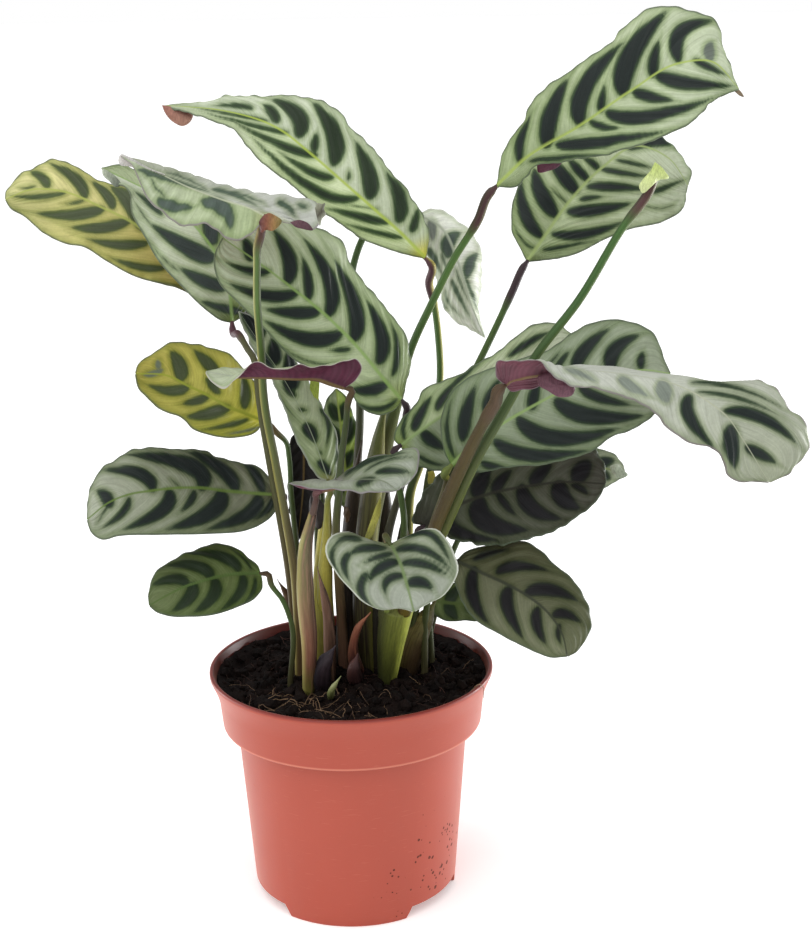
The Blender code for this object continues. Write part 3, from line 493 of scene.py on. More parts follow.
def soilMaterial():
    # moist peat and coir: nearly black, matt, a few wet glints on the crumbs
    material, add = newMaterial("moistPeatAndCoir")
    place = add("TexCoord", out="Object")
    coarse = add("TexNoise", (place, 150.0, 6.0, 0.7))  # 7 mm clumps
    tint = add("ValToRGB", (coarse,))
    ramp = tint.node.color_ramp
    ramp.elements[0].position, ramp.elements[0].color = 0.38, rgba(soilLook["peat"])
    ramp.elements[1].position, ramp.elements[1].color = 0.72, rgba(soilLook["peatLight"])
    fine = add("TexNoise", (place, 900.0, 4.0))  # 1 mm crumbs
    bump = add("Bump", {"Height": fine, "Distance": 0.0006, "Strength": 0.8})
    rough = add("MapRange", (fine, 0.0, 1.0, 0.6, 1.0))
    surface = add("BsdfPrincipled", {
        "Base Color": tint, "Normal": bump, "Roughness": rough, "Specular IOR Level": 0.12})
    add("OutputMaterial", (surface,))
    return material


def fibreMaterial(name, dark, pale):
    # dry plant fibre: tan to red brown along its length, matt
    material, add = newMaterial(name)
    place = add("TexCoord", out="Object")
    patch = add("TexNoise", (place, 90.0, 3.0))  # 11 mm along the fibre
    spread = add("MapRange", (patch, 0.35, 0.7))
    tint = add("Mix", (spread, rgba(dark), rgba(pale)))
    grain = add("TexNoise", (place, 2500.0))  # 0.4 mm
    bump = add("Bump", {"Height": grain, "Distance": 0.0001, "Strength": 0.4})
    surface = add("BsdfPrincipled", {"Base Color": tint, "Normal": bump, "Roughness": 0.75})
    add("OutputMaterial", (surface,))
    return material


def tubeRings(path, radii, sides):
    # rings of points round a path, carried along it without twist
    path = np.asarray(path, float)
    tangents = np.gradient(path, axis=0)
    tangents /= np.linalg.norm(tangents, axis=1)[:, None]
    side = np.array([1.0, 0.0, 0.0])
    if abs(np.dot(side, tangents[0])) > 0.95:
        side = np.array([0.0, 1.0, 0.0])
    angles = np.arange(sides) * 2 * math.pi / sides
    rings = []
    for place, tangent, radius in zip(path, tangents, radii):
        side = unit(side - tangent * np.dot(side, tangent))
        beside = np.cross(tangent, side)
        rings.append(place + radius * (np.cos(angles)[:, None] * side + np.sin(angles)[:, None] * beside))
    return np.array(rings)


def wanderingLine(draw, start, heading, length, steps, turn, follow):
    # a thread that wanders over the soil; follow says how high it runs above it
    points = [np.array(start, float)]
    for _ in range(steps):
        heading += draw.uniform(-turn, turn)
        step = length / steps
        x = points[-1][0] + step * math.cos(heading)
        y = points[-1][1] + step * math.sin(heading)
        if math.hypot(x, y) > 54.5:
            heading += math.pi * 0.6
            x, y = points[-1][0], points[-1][1]
        points.append(np.array([x, y, soilHeight(x, y) + follow(len(points) / steps)]))
    points = np.array(points)
    moved = np.linalg.norm(np.diff(points, axis=0), axis=1) > 0.01
    return points[np.concatenate([[True], moved])]


def makeThreads(name, lines, sides, material):
    points, faces = [], []
    for path, radii in lines:
        rings = tubeRings(path, radii, sides)
        faces += tubeFaces(len(rings), sides, len(points))
        points.extend(rings.reshape(-1, 3))
    newPiece(name, points, faces, [material])


def makeCrumbs(name, count, sizes, material, seed, lift=0.2):
    # small broken lumps, each a jittered twenty sided block
    draw = random.Random(seed)
    g = (1 + math.sqrt(5)) / 2           # golden ratio
    corners = [(-1, g, 0), (1, g, 0), (-1, -g, 0), (1, -g, 0), (0, -1, g), (0, 1, g), (0, -1, -g),
               (0, 1, -g), (g, 0, -1), (g, 0, 1), (-g, 0, -1), (-g, 0, 1)]
    corners = [unit(np.array(corner, float)) for corner in corners]
    sidesOf = [(0, 11, 5), (0, 5, 1), (0, 1, 7), (0, 7, 10), (0, 10, 11), (1, 5, 9), (5, 11, 4), (11, 10, 2),
               (10, 7, 6), (7, 1, 8), (3, 9, 4), (3, 4, 2), (3, 2, 6), (3, 6, 8), (3, 8, 9), (4, 9, 5),
               (2, 4, 11), (6, 2, 10), (8, 6, 7), (9, 8, 1)]
    points, faces = [], []
    for _ in range(count):
        radius, angle = 55.0 * math.sqrt(draw.random()), draw.uniform(0, 2 * math.pi)
        x, y = turned(radius, angle)
        size = sizes[0] + (sizes[1] - sizes[0]) * draw.random() ** 2.2
        centre = np.array([x, y, soilHeight(x, y) + lift * size])
        stretch = np.array([draw.uniform(0.7, 1.3) for _ in range(3)]) * size
        turn = draw.uniform(0, 6.28)
        axis = Vector((draw.uniform(-1, 1), draw.uniform(-1, 1), 0.6))
        spin = Matrix.Rotation(turn, 3, axis)
        base = len(points)
        for corner in corners:
            blob = np.array(spin @ Vector(corner * stretch * draw.uniform(0.72, 1.2)))
            points.append(centre + blob)
        faces += [tuple(base + k for k in side) for side in sidesOf]
    newPiece(name, points, faces, [material], flat=np.ones(len(faces), bool))


def makeSoil():
    look = soilLook
    draw = random.Random(41)
    rings, segments = 96, 200
    radii = np.linspace(0.4, look["radius"], rings)
    angles = np.arange(segments) * 2 * math.pi / segments
    points = [turned(r, a, soilHeight(*turned(r, a))) for r in radii for a in angles]
    # the root ball's side follows the pot's wall down, so it goes in by way of the collar's step
    for radius, height in (look["step"], look["floor"]):
        points += [turned(radius, a, height) for a in angles]
    faces = [face[::-1] for face in tubeFaces(rings + 2, segments)]
    peat = soilMaterial()
    newPiece("pottingMix", points, faces, [peat], ["soil"])
    makeCrumbs("peatCrumbs", look["crumbs"], look["crumbSize"], peat, 7)
    lines = []
    for _ in range(look["fibres"]):
        radius, angle = 53.0 * math.sqrt(draw.random()), draw.uniform(0, 2 * math.pi)
        x, y = turned(radius, angle)
        lift = draw.uniform(0.2, 1.8)
        path = wanderingLine(draw, (x, y, soilHeight(x, y)), draw.uniform(0, 6.28),
                             draw.uniform(*look["fibreLength"]), 8, 0.45,
                             lambda share, lift=lift: 0.1 + lift * math.sin(math.pi * share))
        if len(path) < 4:
            continue
        thick = draw.uniform(*look["fibreRadius"])
        lines.append((path, np.linspace(thick, thick * 0.5, len(path))))
    makeThreads("coirFibres", lines, 4, fibreMaterial("dryCoirFibre", look["fibre"], look["fibrePale"]))
    # pale surface roots, thickest at the front left
    lines = []
    for x0, x1, y0, y1, count in look["rootPatches"]:
        for _ in range(count):
            x, y, lift = draw.uniform(x0, x1), draw.uniform(y0, y1), draw.uniform(0.6, 4.2)
            path = wanderingLine(draw, (x, y, soilHeight(x, y) - 0.4), draw.uniform(0, 6.28),
                                 draw.uniform(8.0, 26.0), 16, 0.28,
                                 lambda share, lift=lift: -0.4 + lift * math.sin(math.pi * share) ** 1.4)
            if len(path) > 6:
                thick = draw.uniform(0.07, 0.18)
                lines.append((path, thick * np.linspace(1.0, 0.35, len(path))))
    turn = math.radians(look["overRimDegrees"])
    path = smoothLine([turned(r, turn + 0.02 * k, z) for k, (r, z) in enumerate(look["overRim"])],
                      np.linspace(0, 1, 30))
    lines.append((path, np.linspace(0.28, 0.12, 30)))
    makeThreads("surfaceRoots", lines, 6, fibreMaterial("drySurfaceRoot", look["rootDark"], look["root"]))
    makeCrumbs("perlite", 6, (0.5, 0.9), fibreMaterial("chalkyPerlite", "#9A948A", look["perlite"]), 19, 0.3)


makeSoil()
print("potting mix made")


# Leaf colours: the dark marks, then blades from stalk to tip, by how they grow and stand to the light. The
# rows for blades in shade and the darkest rows are painted shade; the lighter olive row and the lime row are
# painted light.

# the darkest marks are painted shade, for blades deep in the clump
markTints = {
    "slate": "#1C2321", "worn": "#333B38", "moss": "#424B33", "pine": "#222E1E", "black": "#141416",
    "faded": "#46524A", "ash": "#62665F",
}
leafTints = {
    "frosted": ("#CDD2C4", "#D8DBD2"),
    "paleSilver": ("#B6C294", "#BAC5A0", "#C8CEBA"),
    "silver": ("#A2AB90", "#B0B9A0", "#B8BFAC"),
    "silverSage": ("#8C9A72", "#9FAA8A", "#ABB49C"),
    "sage": ("#7C8C5C", "#8E9C74", "#98A482"),
    "shadedSilver": ("#868C7A", "#90968A"),
    "shadedSage": ("#727E64", "#7E8972", "#868F7A"),
    "silverToSage": ("#A8AAA4", "#A8ACA0", "#8A907A"),
    "straw": ("#B4A858", "#AFAE76"),
    "paleStraw": ("#BEB266", "#BDBB86"),
    "yellow": ("#BAB846", "#A8A450", "#979044"),
    # painted light: the lime row is the glow of a blade with light behind it
    "lime": ("#9CAE50", "#B2C870"),
    "forest": ("#566438", "#606C48"),
    "shadeToSilver": ("#5A5C4A", "#7A806C", "#9CA290"),
    "oliveShade": ("#44462F", "#585C44"),
    "oliveShadeLit": ("#5C5F48", "#6A6E56"),
    # painted shade: these two very dark rows are blades deep in the clump's shade
    "nearBlack": ("#4C5240", "#43433A"),
    "black": ("#23231E", "#2A2A26"),
}

# Leaf blades: each line goes from the stalk to the tip, the midrib with its depth, then the left
# and right margins as seen on the top side from the stalk. sides: how much deeper than the midrib
# the margins lie at the start, middle and end. tint: its row of leafTints. base: a colour for some
# mm at the stalk: the blade's own colour on most, a painted backlight glow on the top left blade and
# painted shade on the darkest ones. seam: the margin line's colour, dark on most blades and a painted
# pale highlight on some. marks: the dark marks, each (start, middle, end, width) on the sheet, and last
# how faded it is. spare: marks where the front view shows none of the blade, (side, from share, to
# share, count). stalk: its line from the blade down, to its foot (right, back) in the soil or its
# seat (sheath, right, back); its radii and skin go from the ground up.

leaves = {"top_right": {
    "midrib": [(496, 187, -12), (523, 161, -14), (580, 126, -20), (631, 91, -25), (677, 64, -28),
      (712, 62, -31), (739, 90, -35)],
    "left": [(505, 149), (515, 133), (540, 93), (570, 70), (606, 46), (629, 22), (667, 5), (689, 10),
      (717, 23), (724, 45), (729, 66)],
    "right": [(515, 187), (536, 167), (570, 161), (609, 154), (652, 141), (689, 124), (722, 96)],
    "sides": [(3, 8, 4), (-3, -14, -6)],
    "marks": [(520, 163, 521, 140, 531, 116, 10), (547, 147, 551, 115, 568, 78, 18),
      (581, 124, 585, 88, 624, 42, 19), (601, 111, 602, 100, 605, 84, 9), (623, 94, 631, 55, 668, 10, 22),
      (653, 76, 654, 60, 659, 41, 12), (679, 62, 681, 32, 714, 22, 16),
      (711, 59, 709, 50, 712, 43, 11, 0.6), (530, 162, 560, 158, 606, 155, 6),
      (557, 145, 595, 143, 668, 131, 13), (590, 121, 603, 127, 620, 128, 8),
      (607, 112, 645, 117, 715, 98, 15), (634, 92, 650, 97, 674, 101, 12), (657, 75, 685, 83, 732, 86, 15),
      (694, 60, 708, 67, 725, 75, 8)],
    "stalk": [(478, 220, -8), (454, 259, -3), (432, 303, 1), (411, 349, 5), (397, 400, 6), (386, 440, 6),
      (378, 480, 6), (370, 520, 6), (366, 580, 7)], "foot": (8, 12), "radii": (4.4, 4.6, 4.2, 1.7, 1.5, 1.4),
    "tint": "silverSage", "rib": "#93A452",
    "skin": ("#2B2418", "#2E281A", "#4A4222", "#3A5426", "#44622C", "#44622C"),
    "pulvinus": (22, "#432B2C"), "lit": [("right", "#6E7A30", 0.4), ("left", "#2A3A1E", 0.4)]
}, "upper_right_back": {
    "midrib": [(527, 262, 16), (543, 239, 19), (570, 201, 24), (603, 167, 29), (636, 146, 31),
      (668, 158, 28), (688, 186, 25)],
    "left": [(520, 248), (512, 232), (511, 215), (517, 190), (530, 165), (556, 142), (600, 124),
      (645, 128), (679, 152), (691, 174)],
    "right": [(556, 259), (576, 254), (606, 239), (628, 230), (667, 220), (681, 211)],
    "sides": [(2, 6, 2), (-2, -10, -3)],
    "marks": [(534, 248, 524, 242, 514, 226, 3), (542, 237, 525, 213, 521, 178, 14),
      (556, 216, 541, 193, 534, 168, 17), (567, 203, 558, 195, 551, 188, 3),
      (577, 192, 563, 176, 551, 160, 15), (589, 181, 577, 169, 568, 158, 10),
      (598, 169, 592, 163, 583, 158, 8), (543, 250, 562, 247, 598, 240, 5),
      (552, 234, 586, 234, 625, 221, 11), (568, 212, 597, 210, 632, 203, 13),
      (580, 200, 590, 198, 603, 197, 6), (587, 187, 615, 187, 650, 190, 10),
      (653, 192, 664, 188, 684, 180, 6), (601, 169, 622, 173, 652, 177, 7),
      (616, 160, 635, 164, 652, 168, 5), (645, 206, 662, 208, 674, 204, 2)],
    "spare": [("left", 0.6, 0.74, 1)],
    "stalk": [(513, 290, 14), (497, 325, 13), (481, 358, 12), (460, 400, 11), (440, 440, 11),
      (430, 472, 12), (424, 530, 14), (418, 590, 17)], "foot": (25, 23), "radii": (1.9, 1.8, 1.5, 1.3),
    "tint": "silverSage", "base": ("#7E8C5C", 10), "rib": "#8E9F64"
}, "top_left": {
    "midrib": [(426, 259, 5), (403, 235, 5), (376, 211, 5), (343, 182, 7), (312, 155, 9), (277, 128, 12),
      (223, 111, 15), (183, 107, 17), (163, 106, 18)],
    "left": [(416, 257), (390, 250), (362, 239), (340, 224), (311, 203), (289, 183), (264, 165),
      (246, 145), (233, 130), (196, 116)],
    "right": [(428, 249), (426, 221), (413, 199), (395, 176), (380, 157), (350, 125), (340, 113),
      (314, 98), (281, 96), (228, 97), (203, 102)], "sides": [(-2, -10, -3), (3, 11, 3)],
    "marks": [(411, 231, 415, 222, 418, 208, 9), (398, 221, 400, 200, 386, 172, 15),
      (369, 197, 369, 175, 355, 142, 17), (348, 180, 349, 176, 349, 171, 4),
      (333, 164, 334, 135, 312, 102, 18), (314, 151, 315, 143, 317, 133, 9),
      (298, 136, 298, 116, 272, 100, 17), (277, 122, 272, 112, 263, 105, 11),
      (253, 109, 238, 106, 215, 106, 6), (402, 238, 378, 233, 345, 224, 6),
      (388, 223, 360, 217, 326, 208, 9), (378, 209, 360, 207, 340, 205, 2),
      (359, 197, 315, 190, 252, 137, 10), (333, 177, 313, 173, 280, 153, 9),
      (317, 155, 288, 148, 232, 122, 9), (288, 133, 262, 128, 205, 113, 6),
      (268, 121, 240, 116, 190, 107, 5)],
    "stalk": [(429, 283, 9), (434, 303, 13), (438, 333, 15), (440, 379, 15), (432, 430, 15),
      (420, 465, 16), (411, 490, 16), (408, 530, 16), (404, 590, 18)], "foot": (17, 21),
    "radii": (2.3, 2.2, 1.5, 1.3), "tint": "paleSilver", "tintRight": "silver", "base": ("#C6C03A", 11),
    "mark": "pine", "rib": "#97A846", "skin": ("#3A3A22", "#3E4A26", "#3F5A2C", "#4F6A33"),
    "pulvinus": (24, "#4A3034"), "lit": [("right", "#B5AE4E", 0.65)]
}, "hanging_back": {
    "midrib": [(418, 214, 30), (440, 226, 29), (458, 262, 30), (470, 300, 31), (485, 338, 32)],
    "left": [(432, 209), (454, 217), (468, 229), (481, 250), (480, 290), (479, 313)],
    "right": [(416, 228), (425, 250), (440, 290), (446, 313), (463, 325)], "sides": [(2, 6, 2), (2, 6, 2)],
    "marks": [(431, 221, 432, 230, 433, 241, 9, 1), (429, 248, 434, 258, 442, 274, 7),
      (441, 253, 444, 261, 448, 271, 3), (449, 256, 449, 241, 461, 233, 14),
      (467, 277, 470, 263, 477, 254, 11), (452, 280, 458, 294, 470, 317, 5),
      (456, 269, 461, 284, 468, 300, 3), (465, 277, 471, 292, 480, 318, 4),
      (446, 290, 449, 303, 460, 315, 3), (440, 300, 443, 304, 447, 309, 4)],
    "stalk": [(402, 206, 28), (380, 215, 24), (362, 240, 21), (354, 263, 20), (354, 330, 18),
      (360, 411, 16), (357, 470, 16), (352, 531, 17), (351, 600, 19)], "foot": (0, 23),
    "radii": (2.6, 1.9, 1.5, 1.3), "tint": "frosted", "mark": "faded", "rib": "#A3AD98", "seam": "#B4B8AC",
    "skin": ("#33291E", "#3A3326", "#3A4A2C", "#4A6A33"), "pulvinus": (14, "#4A3034")
}, "left_large": {
    "midrib": [(402, 401, -14), (382, 377, -16), (359, 349, -18), (323, 313, -21), (288, 285, -23),
      (263, 266, -24), (222, 238, -26)],
    "left": [(396, 409), (379, 415), (359, 406), (349, 387), (320, 374), (293, 359), (266, 331),
      (238, 303), (218, 281), (214, 256)],
    "right": [(405, 388), (411, 366), (407, 341), (399, 324), (382, 303), (359, 276), (349, 258),
      (340, 240), (321, 229), (300, 222), (265, 213), (238, 220)], "sides": [(-2, -7, -3), (2, 9, 3)],
    "marks": [(392, 376, 397, 352, 391, 322, 7), (378, 363, 382, 337, 366, 300, 15),
      (353, 340, 355, 308, 333, 258, 17), (327, 316, 330, 282, 303, 238, 16),
      (308, 300, 308, 280, 302, 257, 11), (287, 283, 289, 258, 272, 229, 16),
      (250, 260, 248, 248, 244, 239, 12), (397, 399, 376, 409, 350, 400, 6),
      (386, 384, 370, 390, 350, 389, 13), (350, 349, 340, 350, 329, 350, 6),
      (341, 333, 308, 339, 264, 320, 16), (319, 311, 296, 313, 265, 309, 14),
      (298, 292, 268, 296, 228, 283, 13), (270, 271, 250, 271, 225, 262, 9),
      (345, 361, 305, 360, 262, 330, 3)],
    "stalk": [(406, 417, -11), (410, 440, -7), (406, 470, -5), (399, 495, -4), (389, 530, -3),
      (383, 570, -1), (378, 610, 2)], "foot": (11, 5), "radii": (2.4, 2.3, 1.4, 1.2), "tint": "silverSage",
    "base": ("#7E8C50", 12), "rib": "#7F9A58", "skin": ("#26221A", "#2A2820", "#33331F", "#3F5A2A")
}, "left_folded": {
    "midrib": [(266, 217, -46), (250, 208, -44), (223, 200, -41), (190, 188, -39), (160, 174, -38),
      (120, 156, -38)],
    "left": [(257, 229), (247, 238), (234, 241), (223, 234), (203, 224), (184, 227), (161, 211),
      (140, 186), (133, 168)],
    "right": [(282, 222), (299, 226), (314, 230), (322, 213), (314, 203), (297, 203), (272, 197),
      (240, 191), (205, 181), (170, 170), (142, 162)], "sides": [(-3, -14, -4), (6, 17, 5)],
    "marks": [(138, 170, 160, 177, 209, 192, 6), (166, 173, 186, 179, 208, 191, 2.5),
      (159, 200, 173, 207, 193, 207, 12), (203, 203, 224, 209, 231, 230, 15),
      (212, 190, 234, 195, 256, 206, 5), (222, 191, 244, 196, 262, 203, 3),
      (278, 202, 287, 207, 296, 217, 6), (297, 205, 303, 207, 309, 208, 4.5),
      (150, 178, 158, 190, 168, 200, 2)],
    "stalk": [(262, 226, -46.5), (261, 233, -46), (257, 250, -45.5), (257, 261, -45), (257, 299, -43),
      (261, 349, -39), (264, 399, -35), (275, 460, -29), (286, 520, -22), (294, 569, -14), (298, 619, -6)],
    "foot": (-22, 0), "radii": (2, 1.3), "tint": "silverSage", "tintRight": "silverToSage",
    "base": ("#8E9468", 8), "mark": "faded", "rib": "#A5AA92", "seam": "#7A7076", "under": "#8A6A3A",
    "skin": ("#6A5438", "#5E4F34", "#545030", "#4F5A2E", "#4A6230", "#4A6230"),
    "pulvinus": (16, "#4F342E"), "lit": [("left", "#A39A54", 0.6), ("right", "#33291E", 0.5)],
    "ripple": 0.4, "ripplePitch": 4.6, "crinkle": 0.5, "wave": (0.7, 23)
}, "left_inner": {
    "midrib": [(232, 323, 0), (229, 290, 2), (222, 262, 4), (213, 249, 5), (194, 225, 6), (160, 197, 7),
      (130, 182, 7), (101, 168, 6)],
    "left": [(222, 321), (207, 311), (182, 287), (159, 262), (144, 236), (132, 214), (129, 193), (110, 180)],
    "right": [(240, 318), (250, 290), (248, 262), (235, 236), (212, 208), (180, 185), (140, 170), (120, 165)],
    "sides": [(-2, -8, -2), (3, 9, 3)],
    "marks": [(212, 258, 190, 249, 150, 224, 18), (226, 288, 204, 281, 180, 268, 14),
      (241, 312, 222, 308, 200, 301, 9), (162, 215, 150, 204, 135, 192, 7),
      (214, 243, 214, 236, 212, 230, 9), (180, 272, 165, 260, 150, 243, 2),
      (151, 225, 143, 215, 137, 205, 2)], "spare": [("right", 0.1, 0.45, 3)],
    "stalk": [(238, 334, -8), (247, 348, -18), (255, 363, -27), (259, 399, -28), (269, 460, -23),
      (280, 520, -15), (288, 569, -7), (293, 619, 3)], "foot": (-24.5, 8), "radii": (1.5, 1.2),
    "tint": "silver", "tintRight": "sage", "base": ("#66743E", 14), "mark": "worn", "rib": "#7E9A58",
    "skin": ("#5E4A35", "#4A4A2C", "#4A4A2E"), "pulvinus": (22, "#4A2A33"),
    "lit": [("right", "#33291E", 0.5)]
}, "far_left": {
    "midrib": [(215, 290, 18), (170, 255, 18), (133, 223, 20), (103, 208, 22), (61, 191, 24),
      (30, 190, 24), (5, 200, 22)],
    "left": [(212, 297), (195, 295), (176, 288), (157, 283), (136, 277), (106, 261), (83, 247), (66, 244),
      (45, 234), (23, 216), (10, 208)],
    "right": [(222, 278), (208, 248), (180, 215), (145, 192), (100, 180), (73, 166), (53, 158), (38, 166),
      (25, 172), (14, 181), (6, 190)], "sides": [(-2, -8, -2), (2, 8, 3)],
    "marks": [(48, 187, 42, 178, 30, 172, 10), (85, 197, 76, 180, 49, 163, 12),
      (113, 208, 107, 195, 92, 182, 11), (36, 186, 28, 188, 20, 188, 3), (66, 193, 38, 197, 12, 196, 6),
      (84, 200, 75, 203, 65, 204, 4), (104, 208, 75, 215, 36, 213, 12), (130, 221, 100, 228, 71, 227, 12),
      (148, 243, 120, 245, 88, 239, 10), (165, 268, 140, 267, 112, 258, 8),
      (182, 287, 170, 284, 155, 281, 2)], "spare": [("right", 0.05, 0.45, 3)],
    "stalk": [(235, 302, 17), (262, 322, 18), (290, 360, 20), (310, 400, 22), (318, 450, 24),
      (323, 520, 25), (326, 600, 28)], "foot": (-9, 31), "radii": (1.6, 1.2), "tint": "straw",
    "tintRight": "paleStraw", "base": ("#B09A4A", 10), "mark": "moss", "rib": "#97A050"
}, "mid_left_yellow": {
    "midrib": [(262, 421, -2), (246, 414, -4), (226, 406, -7), (209, 396, -10), (188, 386, -13),
      (168, 376, -16), (135, 374, -22)],
    "left": [(259, 429), (234, 438), (209, 435), (193, 429), (183, 419), (163, 411), (147, 398), (137, 386)],
    "right": [(264, 408), (264, 395), (252, 378), (234, 358), (201, 345), (176, 342), (153, 353), (138, 364)],
    "sides": [(-2, -8, -3), (2, 10, 3)],
    "marks": [(181, 379, 179, 365, 170, 352, 15), (158, 368, 158, 364, 158, 360, 6, 0.5),
      (217, 372, 206, 362, 194, 350, 12), (219, 393, 212, 385, 206, 378, 9),
      (244, 408, 245, 392, 243, 376, 11), (162, 370, 152, 374, 144, 375, 6, 0.5),
      (188, 386, 172, 391, 148, 385, 11), (208, 396, 196, 401, 182, 404, 9),
      (229, 407, 208, 414, 186, 417, 13), (248, 419, 230, 425, 200, 430, 6),
      (260, 427, 245, 431, 225, 434, 3, 0.5)],
    "stalk": [(277, 433, 0), (286, 442, 2), (289, 457, 4), (291, 490, 7), (296, 540, 12), (304, 600, 16)],
    "foot": (-15, 25), "radii": (1.4, 1), "tint": "yellow", "base": ("#C2C044", 9), "mark": "moss",
    "rib": "#8A9432", "pulvinus": (12, "#5A4A2A")
}, "low_left": {
    "midrib": [(276, 495, -8), (226, 491, -11), (201, 488, -14), (176, 488, -17), (150, 491, -21),
      (131, 494, -24), (110, 502, -28), (87, 520, -33)],
    "left": [(275, 512), (262, 524), (248, 530), (209, 534), (159, 535), (115, 537), (103, 540), (90, 531)],
    "right": [(276, 481), (269, 476), (254, 466), (226, 459), (201, 451), (166, 448), (130, 451),
      (110, 462), (93, 482), (87, 502)], "sides": [(-2, -8, -3), (3, 12, 3)],
    "marks": [(109, 506, 106, 497, 97, 491, 13), (153, 491, 140, 474, 103, 471, 14),
      (201, 489, 190, 466, 125, 455, 18), (236, 490, 222, 470, 188, 452, 15),
      (263, 493, 256, 476, 243, 462, 10), (180, 488, 175, 483, 170, 479, 1.5),
      (108, 506, 104, 512, 98, 522, 3), (129, 498, 122, 513, 102, 528, 8),
      (168, 491, 162, 510, 122, 530, 15), (194, 491, 190, 502, 180, 512, 8),
      (220, 492, 211, 512, 165, 530, 18), (257, 497, 248, 514, 205, 530, 15),
      (271, 500, 268, 509, 255, 520, 7)],
    "stalk": [(283, 502, -5), (287, 530, 1), (293, 570, 6), (299, 610, 12)], "foot": (-17, 18),
    "radii": (1.4, 1.1), "tint": "shadeToSilver", "base": ("#3E3E2A", 10), "rib": "#5A7034",
    "skin": ("#3F3322", "#45402A", "#3F4A26"), "pulvinus": (12, "#4A3034")
}, "small_low_left": {
    "midrib": [(261, 574, -10), (239, 574, -12), (221, 576, -14), (206, 580, -17), (184, 587, -20),
      (166, 596, -23), (149, 606, -26)],
    "left": [(263, 587), (254, 599), (238, 607), (213, 615), (186, 617), (168, 616), (156, 612)],
    "right": [(258, 566), (252, 561), (239, 549), (226, 544), (204, 547), (183, 554), (163, 566),
      (152, 580), (148, 594)], "sides": [(-2, -6, -2), (2, 9, 3)],
    "marks": [(251, 570, 245, 560, 232, 549, 3), (238, 571, 225, 558, 185, 553, 11),
      (212, 579, 198, 567, 166, 565, 12), (187, 585, 175, 579, 152, 586, 11),
      (193, 584, 189, 598, 172, 611, 13), (214, 580, 213, 596, 193, 613, 13),
      (242, 575, 240, 592, 220, 611, 10), (255, 578, 253, 592, 243, 605, 5)],
    "stalk": [(271, 584, -10), (282, 599, -10), (290, 618, -9)], "foot": (-26, -8), "radii": (1.2, 1),
    "tint": "forest", "mark": "pine", "rib": "#4E6434", "pulvinus": (8, "#4A3A2A")
}, "folded_front": {
    "midrib": [(345, 388, -41), (333, 384, -42), (318, 379, -43), (292, 378, -45), (263, 377, -46),
      (240, 377, -47), (205, 372, -48)],
    "left": [(356, 380), (362, 366), (355, 357), (345, 360), (334, 365), (318, 367), (301, 366),
      (286, 368), (271, 366), (255, 363), (243, 373), (222, 388), (210, 380)],
    "right": [(354, 378), (358, 366), (345, 362), (328, 365), (307, 368), (283, 370), (258, 368),
      (235, 369), (218, 369)], "sides": [(-2, -8, -5), (4, 9, 4)], "spare": [],
    "stalk": [(349, 399, -40), (346, 425, -37), (341, 460, -31), (339, 490, -25), (336, 530, -15),
      (339, 580, -3), (342, 625, 6)], "foot": (-3, 10), "radii": (2.4, 1), "tint": "silverSage",
    "mark": "ash", "rib": "#9AA092", "seam": "#A8A49C", "under": "#4C2434",
    "skin": ("#6E4F40", "#5E5236", "#3E4A28", "#3A4526"), "pulvinus": (10, "#4A3A25"),
    "lit": [("right", "#2E2A1C", 0.5)]
}, "narrow_silver": {
    "midrib": [(328, 481, -13), (322, 462, -11), (312, 435, -9), (298, 405, -6), (283, 378, -5),
      (262, 347, -5), (238, 311, -6)],
    "left": [(320, 479), (312, 470), (303, 453), (292, 431), (283, 405), (271, 380), (259, 360), (247, 338)],
    "right": [(333, 480), (338, 465), (338, 445), (333, 425), (322, 405), (308, 380), (296, 358),
      (274, 333), (252, 316)], "sides": [(-2, -5, -2), (3, 6, 2)],
    "marks": [(284, 380, 290, 391, 296, 396, 9), (299, 409, 303, 410, 307, 410, 4),
      (305, 426, 311, 433, 316, 443, 13), (320, 451, 321, 453, 322, 455, 3),
      (319, 462, 325, 468, 331, 475, 10), (320, 408, 328, 424, 326, 448, 6),
      (266, 374, 284, 404, 303, 425, 2.5), (334, 430, 337, 450, 334, 474, 4),
      (262, 352, 268, 362, 276, 372, 8), (246, 326, 254, 336, 260, 346, 5)],
    "spare": [("right", 0.45, 0.9, 3)],
    "stalk": [(328, 500, -10), (326, 540, -5), (325, 590, 1), (327, 630, 6)], "foot": (-10, 10),
    "radii": (2.4, 3.4, 3.2, 1.3, 1.1), "tint": "silverSage", "base": ("#8A8A5A", 8), "rib": "#8E9A80",
    "ribWidth": 0.3, "seam": "#8E9488", "skin": ("#5E5A28", "#A39A40", "#A8A04A", "#6E7A3E"),
    "pulvinus": (6, "#5A5A34"), "lit": [("left", "#6A6A2E", 0.5), ("right", "#3A3420", 0.4)]
}, "twisted_front": {
    "midrib": [(322, 491, -40), (342, 485, -45), (366, 480, -51), (384, 482, -56), (397, 491, -60)],
    "left": [(318, 485), (333, 481), (356, 466), (373, 457), (393, 452), (418, 451), (419, 463), (410, 482)],
    "right": [(306, 490), (288, 482), (300, 486), (317, 490), (338, 490), (366, 492), (384, 493)],
    "sides": [(2, 7, 2), (-3, -9, -3)],
    "marks": [(345, 477, 370, 461, 408, 453, 6), (365, 472, 385, 461, 412, 458, 3.5),
      (376, 473, 392, 471, 410, 473, 7), (357, 485, 366, 481, 376, 478, 8)], "stalk": [(316, 500, -35)],
    "seat": ("left_sheath", 0, 0), "radii": (1.4, 1), "tint": "shadedSilver",
    "base": ("#5E525C", 18), "rib": "#6E7662", "seam": "#7A7478",
    "skin": ("#54433A", "#4A3631", "#4A3033"), "pulvinus": (6, "#5A3A3A")
}, "front_heart": {
    "midrib": [(390, 544, -56), (399, 561, -60), (407, 585, -64), (414, 612, -65)],
